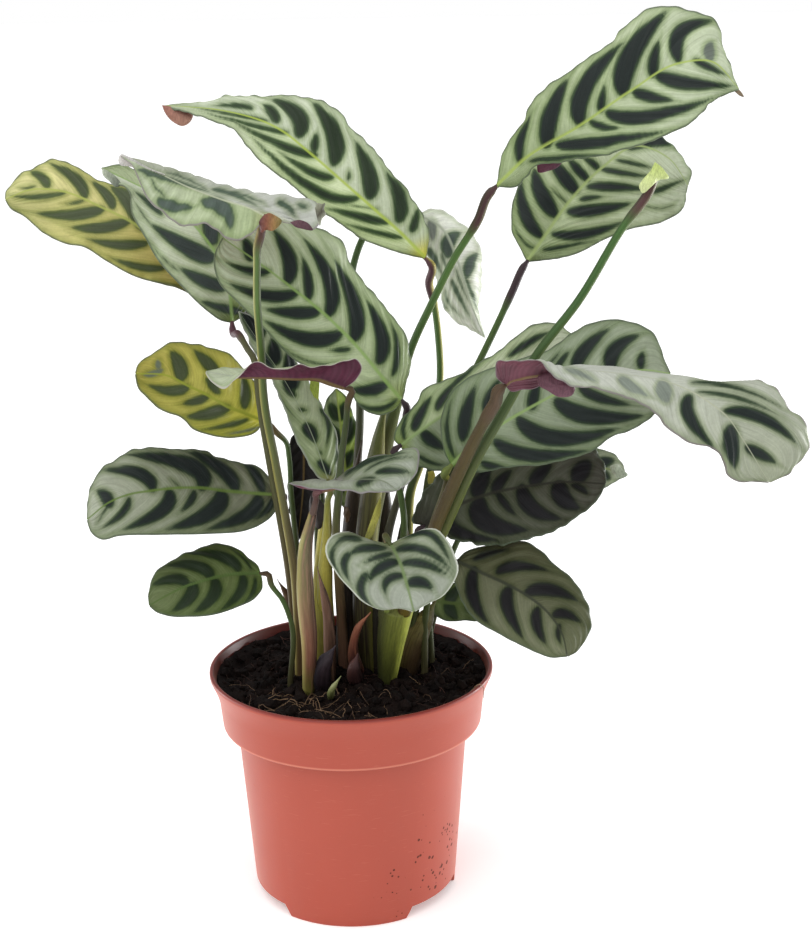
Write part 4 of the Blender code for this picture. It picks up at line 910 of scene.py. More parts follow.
    "left": [(403, 538), (423, 529), (438, 529), (446, 538), (454, 553), (458, 568), (453, 583),
      (441, 596), (426, 605)],
    "right": [(384, 543), (366, 539), (346, 533), (330, 538), (326, 548), (327, 558), (335, 573),
      (350, 589), (363, 602), (378, 610), (399, 608)], "sides": [(3, 4, 1), (3, 6, 1)],
    "marks": [(362, 541, 345, 539, 336, 546, 6), (336, 546, 332, 560, 341, 578, 5),
      (386, 549, 362, 549, 351, 555, 8), (351, 553, 344, 564, 349, 580, 8),
      (392, 554, 378, 557, 363, 563, 7), (399, 562, 380, 568, 368, 582, 11),
      (368, 572, 361, 590, 374, 608, 9), (405, 576, 388, 580, 386, 594, 9),
      (404, 538, 430, 534, 450, 563, 8), (395, 551, 424, 550, 451, 571, 9),
      (401, 564, 424, 564, 447, 575, 9), (408, 584, 421, 582, 433, 590, 12)],
    "stalk": [(391, 555, -45), (392, 575, -31)], "seat": ("large_sheath", -4, -4.2), "radii": (1.3, 1),
    "tint": "shadedSilver", "base": ("#747C58", 6), "rib": "#66784C", "seam": "#B4B8AC",
    "skin": ("#6E7A3E", "#6A5A3A"), "pulvinus": (6, "#4A5230")
}, "right_inner": {
    "midrib": [(400, 446, -20), (420, 431, -20), (440, 417, -18), (480, 393, -15), (530, 366, -9),
      (583, 350, -2)],
    "left": [(394, 440), (398, 426), (413, 406), (426, 388), (446, 380), (473, 366), (493, 355),
      (516, 336), (534, 325), (552, 322), (572, 334)],
    "right": [(408, 457), (420, 467), (444, 470), (480, 455), (520, 430), (560, 396), (582, 368)],
    "sides": [(2, 7, 2), (1, 1, 1)],
    "marks": [(405, 440, 404, 425, 412, 408, 5), (414, 430, 420, 415, 432, 396, 11),
      (437, 410, 444, 397, 458, 380, 9), (452, 388, 462, 377, 480, 364, 6),
      (508, 357, 530, 342, 550, 332, 8), (423, 433, 432, 441, 445, 449, 13),
      (418, 455, 430, 462, 445, 464, 5)], "spare": [("right", 0.3, 0.85, 4)],
    "stalk": [(399, 458, -18), (399, 480, -15), (404, 520, -10), (399, 570, -2)], "foot": (15, 11),
    "radii": (1.7, 1.2), "tint": "silverSage", "tintRight": "shadedSage", "base": ("#6E8040", 9),
    "rib": "#7A8F5C"
}, "right_middle": {
    "midrib": [(451, 466, -32), (468, 448, -32), (505, 422, -33), (533, 406, -33), (558, 393, -33),
      (580, 384, -34), (610, 376, -35), (645, 370, -37), (671, 374, -39)],
    "left": [(444, 449), (441, 416), (451, 393), (473, 375), (510, 362), (546, 350), (562, 340),
      (587, 325), (615, 319), (640, 325), (658, 340), (664, 358)],
    "right": [(463, 472), (478, 472), (513, 467), (540, 465), (566, 460), (592, 451), (609, 439),
      (637, 427), (656, 413), (670, 393)], "sides": [(2, 7, 2), (-1, -5, -3)],
    "marks": [(455, 458, 447, 430, 452, 400, 5), (463, 440, 466, 415, 476, 385, 14),
      (485, 412, 490, 395, 503, 376, 9), (532, 409, 534, 395, 540, 382, 12),
      (545, 368, 553, 360, 560, 352, 3), (555, 370, 562, 360, 569, 352, 7),
      (575, 370, 585, 350, 610, 328, 14), (612, 371, 615, 350, 640, 335, 16),
      (641, 368, 641, 360, 643, 352, 9), (580, 387, 600, 398, 632, 405, 11),
      (556, 400, 590, 416, 645, 415, 18), (518, 418, 555, 438, 620, 428, 18),
      (495, 440, 530, 455, 590, 450, 15), (482, 462, 492, 466, 508, 468, 8)],
    "stalk": [(447, 480, -27), (436, 515, -21), (420, 555, -15)], "seat": ("large_sheath", -3, 4.5),
    "radii": (1.6, 1.3), "tint": "shadedSage", "base": ("#6E8A44", 8), "rib": "#80985C", "ribWidth": 0.8,
    "skin": ("#6E7230", "#54502C", "#3F3A26"), "pulvinus": (8, "#5E6A34"),
    "lit": [("right", "#A8A84A", 0.5)]
}, "right_drooping": {
    "midrib": [(505, 385, -56), (511, 380, -56), (521, 377, -57), (547, 373, -58), (590, 371, -59),
      (630, 375, -60), (668, 382, -61), (690, 391, -61), (710, 403, -62), (728, 418, -62), (741, 437, -62),
      (753, 456, -61), (769, 483, -60)],
    "left": [(510, 391), (525, 389), (545, 383), (560, 372), (575, 367), (609, 369), (637, 373),
      (672, 380), (696, 382), (731, 384), (762, 382), (778, 390), (790, 408), (807, 428), (810, 444),
      (800, 463), (783, 476)],
    "right": [(497, 378), (497, 364), (515, 360), (536, 361), (550, 373), (565, 383), (580, 387),
      (609, 392), (637, 402), (656, 415), (670, 430), (687, 442), (719, 453), (723, 461), (726, 474),
      (739, 482), (753, 482)], "sides": [(5, 13, 5), (-6, -10, -4)],
    "marks": [(565, 369, 585, 376, 596, 382, 5, 1), (620, 379, 632, 387, 648, 396, 9, 1),
      (662, 384, 664, 393, 667, 402, 14, 1), (690, 396, 690, 418, 716, 451, 14),
      (731, 427, 731, 446, 735, 469, 17), (690, 383, 735, 388, 782, 407, 5),
      (697, 392, 740, 399, 778, 415, 5), (724, 411, 762, 418, 797, 444, 13),
      (746, 447, 760, 454, 776, 463, 12)],
    "stalk": [(496, 401, -54), (488, 415, -52), (463, 464, -43), (440, 516, -33), (424, 556, -24)],
    "seat": ("large_sheath", 3, -3.6), "radii": (2.8, 2.6, 2.4, 1.8), "tint": "silverToSage",
    "base": ("#9A7C7A", 7), "rib": "#A0A48E", "ribWidth": 0.7, "seam": "#6E6668", "under": "#5E3842",
    "skin": ("#54481A", "#463C1A", "#40381E"), "pulvinus": (18, "#4A3A2A"),
    "lit": [("left", "#43351F", 0.5), ("right", "#3C3C18", 0.5)]
}, "low_right_dark": {
    "midrib": [(424, 526, -12), (440, 514, -14), (473, 499, -17), (496, 492, -18), (529, 486, -19),
      (562, 482, -20), (606, 484, -23)],
    "left": [(414, 522), (420, 499), (443, 471), (470, 458), (500, 448), (540, 440), (575, 438),
      (594, 447), (602, 459), (606, 472)],
    "right": [(434, 534), (450, 538), (488, 546), (521, 541), (554, 531), (579, 516), (599, 498)],
    "sides": [(2, 8, 3), (-1, -5, -2)],
    "marks": [(481, 499, 487, 522, 530, 530, 22), (497, 492, 506, 505, 516, 515, 8),
      (522, 486, 532, 508, 562, 519, 17), (560, 484, 563, 498, 580, 509, 19),
      (572, 485, 582, 489, 587, 494, 7), (450, 520, 462, 533, 500, 541, 12),
      (533, 483, 540, 474, 552, 464, 14), (577, 480, 582, 470, 590, 463, 18),
      (495, 492, 500, 482, 512, 470, 12)], "spare": [("left", 0.1, 0.4, 2)],
    "stalk": [(418, 536, -9), (416, 560, -6), (416, 600, -1)], "foot": (24, 3), "radii": (1.6, 1.2),
    "tint": "nearBlack", "base": ("#2E2E26", 24), "mark": "black", "rib": "#2A2A22", "crinkle": 1.3
}, "low_right_hidden": {
    "midrib": [(500, 492, 10), (530, 482, 13), (570, 474, 17), (600, 468, 20), (626, 474, 22)],
    "left": [(506, 474), (530, 460), (560, 450), (590, 446), (606, 450), (620, 460)],
    "right": [(510, 506), (535, 512), (570, 506), (600, 490), (616, 482)],
    "sides": [(2, 6, 2), (-1, -4, -1)], "spare": [("left", 0.1, 0.85, 4), ("right", 0.1, 0.85, 4)],
    "stalk": [(480, 505, 8), (458, 540, 8), (444, 580, 10), (432, 625, 15)], "foot": (32, 22),
    "radii": (1.4, 1.1), "tint": "shadeToSilver", "rib": "#6E7A4A"
}, "low_right": {
    "midrib": [(456, 561, -18), (482, 573, -21), (506, 584, -25), (529, 597, -29), (549, 614, -33),
      (562, 634, -37), (567, 657, -39)],
    "left": [(466, 551), (485, 546), (509, 543), (524, 541), (539, 548), (551, 562), (568, 575),
      (583, 593), (590, 612), (588, 635), (578, 651)],
    "right": [(453, 575), (458, 593), (466, 609), (478, 622), (499, 634), (524, 647), (549, 657)],
    "sides": [(2, 7, 2), (-1, -4, -1)],
    "marks": [(475, 568, 473, 596, 489, 624, 14), (510, 588, 508, 608, 524, 640, 14),
      (538, 608, 537, 625, 546, 644, 12), (560, 624, 558, 634, 561, 644, 6),
      (474, 560, 488, 554, 510, 550, 7), (497, 573, 518, 566, 548, 571, 11),
      (526, 593, 550, 590, 578, 601, 14), (554, 616, 565, 614, 581, 623, 11)],
    "stalk": [(444, 564, -14), (434, 580, -9), (427, 605, -3)], "foot": (31, 0), "radii": (1.5, 1.2),
    "tint": "oliveShade", "tintRight": "oliveShadeLit", "base": ("#33351F", 8), "mark": "black",
    "rib": "#2E3226"
}, "small_rim": {
    "midrib": [(432, 600, 4), (450, 603, 5), (478, 603, 6), (508, 601, 8)],
    "left": [(436, 590), (455, 583), (480, 584), (500, 592)],
    "right": [(433, 613), (446, 621), (462, 621), (480, 620), (498, 610)],
    "sides": [(1, 3, 1), (-1, -2, -1)], "spare": [("left", 0.1, 0.85, 3), ("right", 0.1, 0.85, 3)],
    "stalk": [(428, 612, 5)], "foot": (35, 8), "radii": (1.3, 1), "tint": "forest", "mark": "pine",
    "rib": "#4A5A2E", "pulvinus": (5, "#4A3A2A")
# painted shade: this blade sits deep in the clump, so both its sides are very dark
}, "centre_dark": {
    "midrib": [(304, 430, 18), (304, 456, 17), (303, 490, 16), (300, 520, 15), (297, 543, 14)],
    "left": [(294, 434), (288, 460), (288, 490), (291, 517), (294, 534)],
    "right": [(314, 436), (320, 462), (320, 492), (312, 520), (302, 536)],
    "sides": [(-1, -3, -1), (-1, -3, -1)], "spare": [("left", 0.1, 0.85, 4), ("right", 0.1, 0.85, 4)],
    "stalk": [(308, 424, 19), (314, 430, 20), (318, 460, 21), (317, 530, 22), (318, 600, 23)],
    "foot": (-13, 31), "radii": (1.4, 1), "tint": "black", "mark": "black", "rib": "#2E3020",
    "seam": "#4A4A40", "under": "#1D1A19", "pulvinus": (6, "#4A3A2A")
}, "centre_lit": {
    "midrib": [(348, 512, 28), (345, 470, 29), (341, 430, 30), (336, 388, 32)],
    "left": [(337, 500), (327, 470), (321, 440), (323, 412), (329, 396)],
    "right": [(355, 500), (358, 470), (358, 440), (352, 410), (344, 394)], "sides": [(0, 2, 0), (0, 2, 0)],
    "spare": [("left", 0.1, 0.85, 4), ("right", 0.1, 0.85, 4)],
    "stalk": [(349, 530, 28), (345, 570, 28), (341, 610, 27)], "foot": (-5, 35), "radii": (1.3, 1),
    "tint": "sage", "tintRight": "lime", "mark": "pine", "rib": "#8FA050", "pulvinus": (8, "#4A3A2A")
}}

# A stalk whose blade is gone: only a short pale stub is left at its top.
bareStalk = {
    "points": [(657, 166, -42), (651, 187, -42), (623, 227, -43), (579, 300, -45),
               (536, 356, -48), (504, 411, -48), (474, 464, -40), (450, 516, -30),
               (432, 556, -21)],
    "seat": ("large_sheath", 5.2, 1.8), "radii": (2.3, 2.1, 1.6, 1.4),
    "skin": ("#54542A", "#4E5428", "#3A4824", "#345226", "#40602C"), "pulvinus": (20.0, "#4A3030"),
    "lit": [("right", "#6E7A3A", 0.4), ("left", "#2A3A1E", 0.5)],
}


# Sheaths and shoots that come out of the soil

# foot is (right, back) on the soil; points climb from it; radii are spread from the soil to the
# tip; colours go from the soil up; the side tints are those of its left and right sides and how strong,
# mostly a painted highlight on one side and painted shade on the other; lap is how far the wrapped
# edge stands off, as a share of the radius
shoots = {"left_sheath": {
    "foot": (-18, -14), "points": [(309, 640, -18), (305, 590, -23), (306, 545, -28), (313, 513, -32)],
    "radii": [2.7, 3.0, 3.5, 3.5, 2.8, 1.5],
    "colours": ("#7E7E3A", "#7A5040", "#74523F", "#6E6040", "#625C40", "#3E342A"),
    "lit": [("left", "#A8A25E", 0.65), ("right", "#2A1C16", 0.75)], "streak": "#8E6A58", "pointed": 0.0
}, "large_sheath": {
    "foot": (15, -5), "points": [(391, 640, -8), (397, 605, -12)], "radii": [3.9, 5.2, 6.4, 7.2],
    "colours": ("#3E4220", "#5C622A", "#6C7232"),
    "lit": [("left", "#26291A", 0.85), ("right", "#B0B84A", 0.6)], "streak": "#4E5226", "lap": 0.08,
    "pointed": 0.0
}, "right_sheath": {
    "foot": (24, 4), "points": [(415, 640, 2), (428, 614, 0), (436, 600, -1)],
    "radii": [4.4, 5.4, 5.0, 3.6, 1.6], "colours": ("#33261A", "#54462C", "#66603A", "#5E6038"),
    "lit": [("left", "#7E7440", 0.5), ("right", "#1E1612", 0.6)], "streak": "#3A2A1C"
}, "thin_sheath": {
    "foot": (-9, -1), "points": [(327, 610, -6), (317, 566, -10)], "radii": [2.4, 2.6, 1.9, 0.5],
    "colours": ("#4A382A", "#5E4638", "#7A5C4C"),
    "lit": [("left", "#9A7A68", 0.6), ("right", "#2A1D18", 0.7)], "streak": "#8A6A58", "lap": 0.12
}, "purple_sprout": {
    "foot": (-13, -12), "points": [(324, 664, -14), (336, 645, -15)], "radii": [3.6, 4.2, 3.2, 0.8],
    "colours": ("#1E171A", "#261D21", "#2E2429"),
    "lit": [("left", "#3F3E44", 0.5), ("right", "#171114", 0.6)], "streak": "#41363C"
}, "red_shoot": {
    "foot": (3, 2), "points": [(353, 650, -3), (358, 628, -5), (371, 612, -6)],
    "radii": [3.0, 2.7, 1.9, 1.5, 0.8], "colours": ("#2A1A1A", "#4A2A26", "#7E4A38", "#9A6248"),
    "lit": [("left", "#A87058", 0.4), ("right", "#2A1812", 0.6)], "streak": "#9A6650", "lap": 0.12
}, "green_sprout": {
    "foot": (-9, -23), "points": [(334, 686, -23), (341, 676, -24)], "radii": [1.3, 1.6, 1.2, 0.5],
    "colours": ("#5E6236", "#7E8452", "#98996E"), "lit": [("right", "#3A3A22", 0.6)], "streak": "#5E6A30",
    "lap": 0.08
}, "brown_bract": {
    "foot": (-24, 14), "points": [(297, 630, 8), (292, 605, 5), (277, 579, -1)],
    "radii": [1.2, 1.7, 2.6, 0.5], "colours": ("#2E2418", "#3E3122", "#5E4636"),
    "lit": [("left", "#7A5E4E", 0.4)], "streak": "#6E5C44", "lap": 0.2
}}
# old sheaths between the stalks, close together, that fill the middle of the clump; their very dark colours
# are partly their own and partly painted shade deep in the clump
oldSheaths = {"yellow": {
    "foot": (-12, 4), "points": [(321, 600, 4), (324, 540, 3), (331, 476, 0)],
    "radii": [2.8, 3.6, 3.6, 2.8, 1.0], "colours": ("#4A4420", "#8E8A38", "#ADA444", "#8A8840"),
    "lit": [("left", "#C2B85A", 0.5), ("right", "#4A4424", 0.6)], "streak": "#6E6A2E"
}, "darkLeft": {
    "foot": (-22, 4), "points": [(298, 600, 3), (291, 548, 1), (288, 512, -1)],
    "radii": [2.6, 2.8, 2.0, 0.5], "colours": ("#2A2118", "#3A3020", "#4A4A2C"),
    "lit": [("right", "#1C1510", 0.6)], "streak": "#5A4A34", "lap": 0.12
}, "darkMiddle": {
    "foot": (-2, 16), "points": [(348, 600, 12), (351, 540, 12), (357, 470, 12), (362, 440, 12)],
    "radii": [4.6, 4.8, 4.4, 3.6, 1.6], "colours": ("#17110C", "#1E1711", "#2A2117", "#332A1C"),
    "lit": [("right", "#4A4224", 0.4)], "streak": "#3A2E20"
}, "darkRight": {
    "foot": (22, 12), "points": [(402, 600, 12), (403, 545, 12), (405, 500, 12)],
    "radii": [4.2, 4.4, 3.4, 1.2], "colours": ("#17110C", "#211A12", "#2E2818", "#3A3A20"),
    "lit": [("right", "#6A6A30", 0.4)], "streak": "#33291C"
}, "central": {
    "foot": (7, 7), "points": [(364, 600, 4), (366, 540, 3), (373, 480, 3), (384, 412, 2), (391, 385, 1)],
    "radii": [4.6, 4.9, 4.8, 4.6, 4.4, 3.0, 1.4],
    "colours": ("#1C150E", "#2A2116", "#332C1A", "#3E3C20", "#4E5628", "#4A5A2A"),
    "lit": [("right", "#8E8C3C", 0.6), ("left", "#1E1810", 0.5)], "streak": "#5A5A2E"
}, "darkBud": {
    "foot": (2, -8), "points": [(354, 668, -10), (358, 653, -10)], "radii": [2.8, 3.3, 2.6, 0.8],
    "colours": ("#1E1416", "#33201F", "#4A2E2C"),
    "lit": [("left", "#5E3E38", 0.5), ("right", "#170F0F", 0.6)], "streak": "#4A3230"
}, "backFill": {
    "foot": (8, 22), "points": [(375, 610, 18), (379, 560, 18), (383, 510, 17), (387, 458, 16)],
    "radii": [4.6, 4.8, 4.6, 4.0, 1.5], "colours": ("#17120D", "#241D14", "#33301C"), "streak": "#3A3020",
    "lap": 0.08
}}
shootMake = {
    "rings": 44, "sides": 36,
    "pointed": 1.0,                      # how much its end narrows
    "lap": 0.10, "lit": [],
}
soilSurface = 94.3                       # where stalks and shoots start in the frame
rootDepth = 1.5                          # how far they go on down into the soil


def mixedColours(stops, shares):
    # colours at shares between evenly spaced hex stops
    table = np.array([linearColour(stop) for stop in stops])
    at = np.linspace(0, 1, len(table))
    return np.stack([np.interp(shares, at, table[:, k]) for k in range(3)], axis=1)


def fibrousSkin(name, streakScale, streaks):
    # a sheath is dry papery tissue over wet: satin, with close parallel fibres
    material, add = newMaterial(name)
    ground = add("Attribute", attribute_name="ground")
    streakTint = add("Attribute", attribute_name="streakTint")
    lay = add("Attribute", attribute_name="lay", out="Vector")
    drawn = add("VectorMath", (lay, streakScale), operation="MULTIPLY")
    broad = add("TexNoise", (drawn, 1.0, 4.0))  # 0.8 mm wide on a sheath, 0.6 mm on a stalk
    much = add("MapRange", (broad, 0.46, 0.66, 0.0, streaks))
    tint = add("Mix", (much, ground, streakTint))
    thin = add("TexNoise", (drawn, 3.4, 3.0))  # single fibres, 0.2 mm
    shade = add("MapRange", (thin, 0.3, 0.7, 0.78, 1.16))
    tint = add("VectorMath", (tint, shade), operation="SCALE")
    bump = add("Bump", {"Height": thin, "Distance": 0.00025, "Strength": 0.6})
    rough = add("MapRange", (thin, 0.0, 1.0, 0.36, 0.56))
    surface = add("BsdfPrincipled", {
        "Base Color": tint, "Normal": bump, "Roughness": rough, "IOR": 1.42, "Specular IOR Level": 0.3})
    add("OutputMaterial", (surface,))
    return material


sheathSkin = fibrousSkin("fibrousSheathTissue", (0.035, 1.3, 1.3), 0.6)
sheathTops = {}


def laidOver(ground, hexText, share):
    return ground * (1 - share) + np.array(linearColour(hexText)) * share


def paintSideLightShade(ground, rings, path, sides):
    # painted light and shade: each side of a stem as the front view shows it gets its own tint, mostly a
    # painted highlight on one side and painted shade on the other, a few tints the stem's own colour
    outward = rings - path[:, None, :]
    facing = (outward / (np.linalg.norm(outward, axis=2)[:, :, None] + 1e-9)) @ viewRight
    for side, tint, much in sides:
        share = ease(facing * (1 if side == "right" else -1), 0.15, 0.9)[:, :, None] * much
        ground = laidOver(ground, tint, share)
    return ground


def stemPiece(name, path, radii, points, ground, streak, skin, nodes):
    # a stem's skin is laid out by mm along it and by its place round it
    rings, sides = points.shape[:2]
    along = np.linspace(0, lineLength(path), rings)
    turn = np.arange(sides) / sides * 2 * math.pi
    lay = np.stack([np.repeat(along[:, None], sides, axis=1), radii[:, None] * np.cos(turn),
                    radii[:, None] * np.sin(turn)], axis=2)
    values = {"ground": ground.reshape(-1, 3), "streakTint": streak, "lay": lay.reshape(-1, 3)}
    newPiece(name, points.reshape(-1, 3), tubeFaces(rings, sides), [skin], nodes, values=values)


def shootPath(shoot, shares):
    foot = np.array([[*shoot["foot"], soilSurface]])
    return smoothLine(np.vstack([foot, inSpace(shoot["points"])]), shares)


def makeShoot(name, shoot, nodes):
    top = shootPath(shoot, np.linspace(0, 1, 8))
    sheathTops[name] = (top[-1], unit(top[-1] - top[-2]))
    look = {**shootMake, **shoot}
    rings, sides = look["rings"], look["sides"]
    shares = np.linspace(0, 1, rings)
    path = shootPath(look, shares)
    path[0] = path[0] - np.array([0.0, 0.0, rootDepth])
    radii = np.interp(shares, np.linspace(0, 1, len(look["radii"])), look["radii"])
    radii = radii * (1 - look["pointed"] * ease(shares, 0.72, 1.0) * 0.75)
    centreRings = tubeRings(path, radii, sides)
    turn = np.arange(sides) / sides
    # the wrapped edge: the radius grows round the sheath and drops back at the seam
    seam = (turn[None, :] + 0.12 * np.sin(shares * 5.0)[:, None] + 0.62) % 1.0
    swell = 1 + look["lap"] * (seam - 0.5) * (0.4 + 0.6 * shares[:, None])
    ribs = 1 + 0.012 * np.sin(turn * 2 * math.pi * 17)[None, :]
    points = path[:, None, :] + (centreRings - path[:, None, :]) * (swell * ribs)[:, :, None]
    ground = np.repeat(mixedColours(look["colours"], shares)[:, None, :], sides, axis=1)
    ground = paintSideLightShade(ground, points, path, look["lit"])
    # the outer edge of the wrap is a pale dry line
    line = np.exp(-((seam - 0.97) / 0.035) ** 2)[:, :, None] * 0.5
    streak = np.array(linearColour(look["streak"]))
    ground = ground * (1 - line) + streak * 1.15 * line
    streak = np.tile(streak, (rings * sides, 1))
    stemPiece("shoot_" + name, path, radii, points, ground, streak, sheathSkin, nodes)


for name, shoot in shoots.items():
    makeShoot(name, shoot, [name])
for name, shoot in oldSheaths.items():
    makeShoot(name, shoot, [])
print("sheaths and shoots made:", len(shoots) + len(oldSheaths))


# Small scraps: lime membranes, one of them partly a painted highlight along a sheath's edge, curled tips and
# dry bits. outline: (across, down, depth) round the edge; tint: from its first corner to the far side; bulge:
# mm that its middle stands out.

# painted highlight: the first scrap is a bright lime sheath edge
scraps = {"limeMembrane": {
    "outline": [(381, 496, -3), (376, 506, -3), (371, 520, -3), (365, 543, -3), (371, 538, -3),
      (377, 524, -3), (381, 510, -3)], "tint": ("#8A8A3A", "#B4B256", "#6E7034"), "bulge": 0.4
}, "yellowStemEdge": {
    "outline": [(428, 472, 8), (433, 471, 8), (434, 482, 8), (429, 484, 8)], "tint": ("#A8A044", "#8A8A3A"),
    "bulge": 0.3
}, "limeStrip": {
    "outline": [(310, 379, -2), (317, 377, -2), (319, 393, -2), (316, 407, -2), (311, 398, -2)],
    "tint": ("#8EA040", "#A8B84A"), "bulge": 0.3
}, "driedCurl": {
    "outline": [(344, 506, 4), (348, 508, 3), (350, 517, 4), (347, 523, 5), (344, 516, 5)],
    "tint": ("#4A3A2A", "#6A5440"), "bulge": 0.8
}, "stubMembrane": {
    "outline": [(655, 162, -43), (664, 170, -43), (669, 178, -43), (659, 180, -44), (651, 187, -45),
      (643, 193, -45), (639, 187, -45), (645, 177, -44), (651, 170, -43)], "tint": ("#AFC06A", "#C9D29A"),
    "bulge": 1.2
}, "curledTipUnder": {
    "outline": [(162, 105, 17), (172, 107, 17), (184, 110, 17), (193, 114, 17), (191, 121, 16),
      (182, 126, 16), (172, 121, 16), (165, 113, 16)], "tint": ("#8A5A4E", "#A8806E"), "bulge": 1.2
}, "innerTipCurl": {
    "outline": [(102, 168, 5), (110, 172, 5), (117, 178, 4), (121, 185, 4), (116, 187, 3), (109, 181, 4),
      (103, 175, 5)], "tint": ("#A2AA96", "#5E665A"), "bulge": 0.6
}, "foldedTipCrumple": {
    "outline": [(315, 208, -46), (318, 203, -46), (322, 204, -46), (325, 203, -46), (324, 209, -46),
      (326, 214, -46), (322, 219, -46), (320, 226, -46), (317, 218, -46)],
    "tint": ("#8A8C78", "#4A463A", "#A4A894"), "bulge": 0.9
}, "foldedBaseUnder": {
    "outline": [(259, 222, -48), (263, 216, -48), (269, 213, -48), (276, 216, -48), (282, 221, -49),
      (279, 226, -49), (272, 231, -49), (266, 230, -48), (262, 233, -48)],
    "tint": ("#55343A", "#7A4A38", "#8A6A40", "#6E6838"), "bulge": 0.9
}, "foldedTipTube": {
    "outline": [(118, 160, -38), (121, 154, -38), (127, 156, -38), (140, 163, -38), (154, 170, -38),
      (166, 175, -38), (158, 176, -38), (142, 171, -38), (128, 166, -38), (120, 165, -38)],
    "tint": ("#C2BFBB", "#A9A8A2", "#BCBDB2"), "bulge": 1.3
}, "topRightTipThread": {
    "outline": [(729, 84, -34), (736, 87, -35), (742, 93, -35), (744, 97, -35), (740, 96, -35),
      (734, 91, -35), (729, 88, -34)], "tint": ("#B5A890", "#8E7E66", "#6A5A48"), "bulge": 0.5
}, "foldedPurpleEdge": {
    "outline": [(290, 222, -47), (300, 220, -47), (309, 224, -47), (313, 230, -47), (303, 229, -47),
      (294, 226, -47)], "tint": ("#5E4048", "#4E333B"), "bulge": 0.8
}, "topRightUnder": {
    "outline": [(537, 163, -17), (549, 159, -17), (564, 158, -18), (560, 165, -17), (548, 171, -16),
      (538, 172, -16)], "tint": ("#5A2A3C", "#4A2433"), "bulge": 0.4
}, "crinkledTip": {
    "outline": [(610, 466, 21), (617, 464, 21), (622, 469, 21), (628, 475, 21), (620, 479, 21),
      (611, 483, 21)], "tint": ("#A5AE98", "#7E8A74"), "bulge": 1.2
}, "darkCrumple": {
    "outline": [(312, 492, 2), (320, 499, 1), (326, 514, 1), (319, 529, 1), (312, 520, 2), (309, 504, 2)],
    "tint": ("#2A2626", "#3A3431"), "bulge": 1.6
}, "droopingBaseUnder": {
    "outline": [(538, 376, -60), (550, 372, -60), (563, 378, -60), (575, 387, -60), (572, 395, -60),
      (560, 397, -60), (548, 391, -60), (538, 384, -60)], "tint": ("#5A3842", "#6A4652"), "bulge": 1.0
}}


def makeScrap(name, scrap):
    count, rings = 44, 7
    corners = scrap["outline"] + [scrap["outline"][0]]
    edge = inSpace(smoothLine(corners, np.linspace(0, 1, count, endpoint=False)))
    centre = edge.mean(axis=0)
    normal = unit(np.cross(edge - centre, np.roll(edge, -1, axis=0) - centre).sum(axis=0))
    if normal @ viewForward > 0:
        edge, normal = edge[::-1], -normal
    seed = float(sum(map(ord, name)) % 89)
    points = []
    for share in np.linspace(0, 1, rings)[1:]:
        turn = np.arange(count) / count * 2 * math.pi
        crumple = 0.22 * scrap["bulge"] * np.sin(5 * turn + seed + 4 * share) * share
        rise = scrap["bulge"] * (1 - share ** 2) + crumple
        points.append(centre + (edge - centre) * share + rise[:, None] * normal)
    front = np.vstack([centre + scrap["bulge"] * normal, *points])
    faces = [(0, 1 + k, 1 + (k + 1) % count) for k in range(count)]
    faces += [(1 + r * count + k, 1 + (r + 1) * count + k, 1 + (r + 1) * count + (k + 1) % count,
               1 + r * count + (k + 1) % count) for r in range(rings - 2) for k in range(count)]
    total = len(front)
    back = [tuple(index + total for index in face)[::-1] for face in faces]
    last = 1 + (rings - 2) * count
    edges = [(last + (k + 1) % count, last + k) for k in range(count)]
    rim = [(after, here, here + total, after + total) for after, here in edges]
    both = np.vstack([front + 0.2 * normal, front - 0.2 * normal])
    start = inSpace(scrap["outline"][:1])[0]
    along = (both - start) @ unit(centre - start + 1e-6)
    share = (along - along.min()) / (np.ptp(along) + 1e-9)
    ground = mixedColours(scrap["tint"], share)
    lay = np.stack([along, (both - centre) @ viewRight * 2, (both - centre) @ viewUp * 0.5], axis=1)
    newPiece("scrap_" + name, both, faces + back + rim, [sheathSkin],
             flat=[False] * (len(faces) + len(back)) + [True] * len(rim),
             values={"ground": ground, "streakTint": ground * 0.55, "lay": lay})


for name, scrap in scraps.items():
    makeScrap(name, scrap)
print("scraps made:", len(scraps))


bladeMake = {
    "rowSpacing": 0.66,                  # mm along the midrib
    "columnSpacing": 0.70,               # mm across a half blade
    "thickness": 0.34,
    "bulge": 0.07,                       # rise of each half blade, as a share of its width
    "sideFade": 0.12,
    "ripple": 0.26, "ripplePitch": 6.0,  # the blade lifts a little between its side veins
    "wave": (0.7, 19.0),                 # waving of the margins, height and pitch
    "crinkle": 0.4,                      # small folds right at the margin
    "ribHeight": 0.75, "ribWidth": 1.0,  # below the blade at the stalk, and a factor
    "sweep": 0.22,                       # how far side veins run forward, as a share of the length
    "veinPitch": 1.15, "underVeinPitch": 2.3,
    "mmPerUnit": 0.41,                   # of the front view's sheet, at the plant
    "tail": 0.34,                        # how far a mark's faded tail runs on, as a share of its length
    "mark": "slate", "under": "#5A2C3A", "faintMark": "#70786E", "rib": "#7A9A50", "seam": "#4A5544",
    "base": ("#7A9A50", 3.0), "veil": "#B9C6A4", "markRim": "#66805A", "underRib": "#6B5A34",
}
stalkMake = {
    "tipLength": 3.0, "tipRadius": 0.75, "facets": 20,
    "skin": ("#3F3A26", "#3F4A28", "#3F5A2A"),
    "pulvinus": (20.0, "#33262A"),       # length and colour of the thin joint below the blade
    "lit": [],
}


def sideDepth(values, shares):
    first, middle, last = values
    along = (first * (1 - shares) * (1 - 2 * shares) + middle * 4 * shares * (1 - shares)
             + last * shares * (2 * shares - 1))
    fade = bladeMake["sideFade"]
    return along * np.sqrt(np.clip(shares / fade, 0, 1)) * np.sqrt(np.clip((1 - shares) / fade, 0, 1))


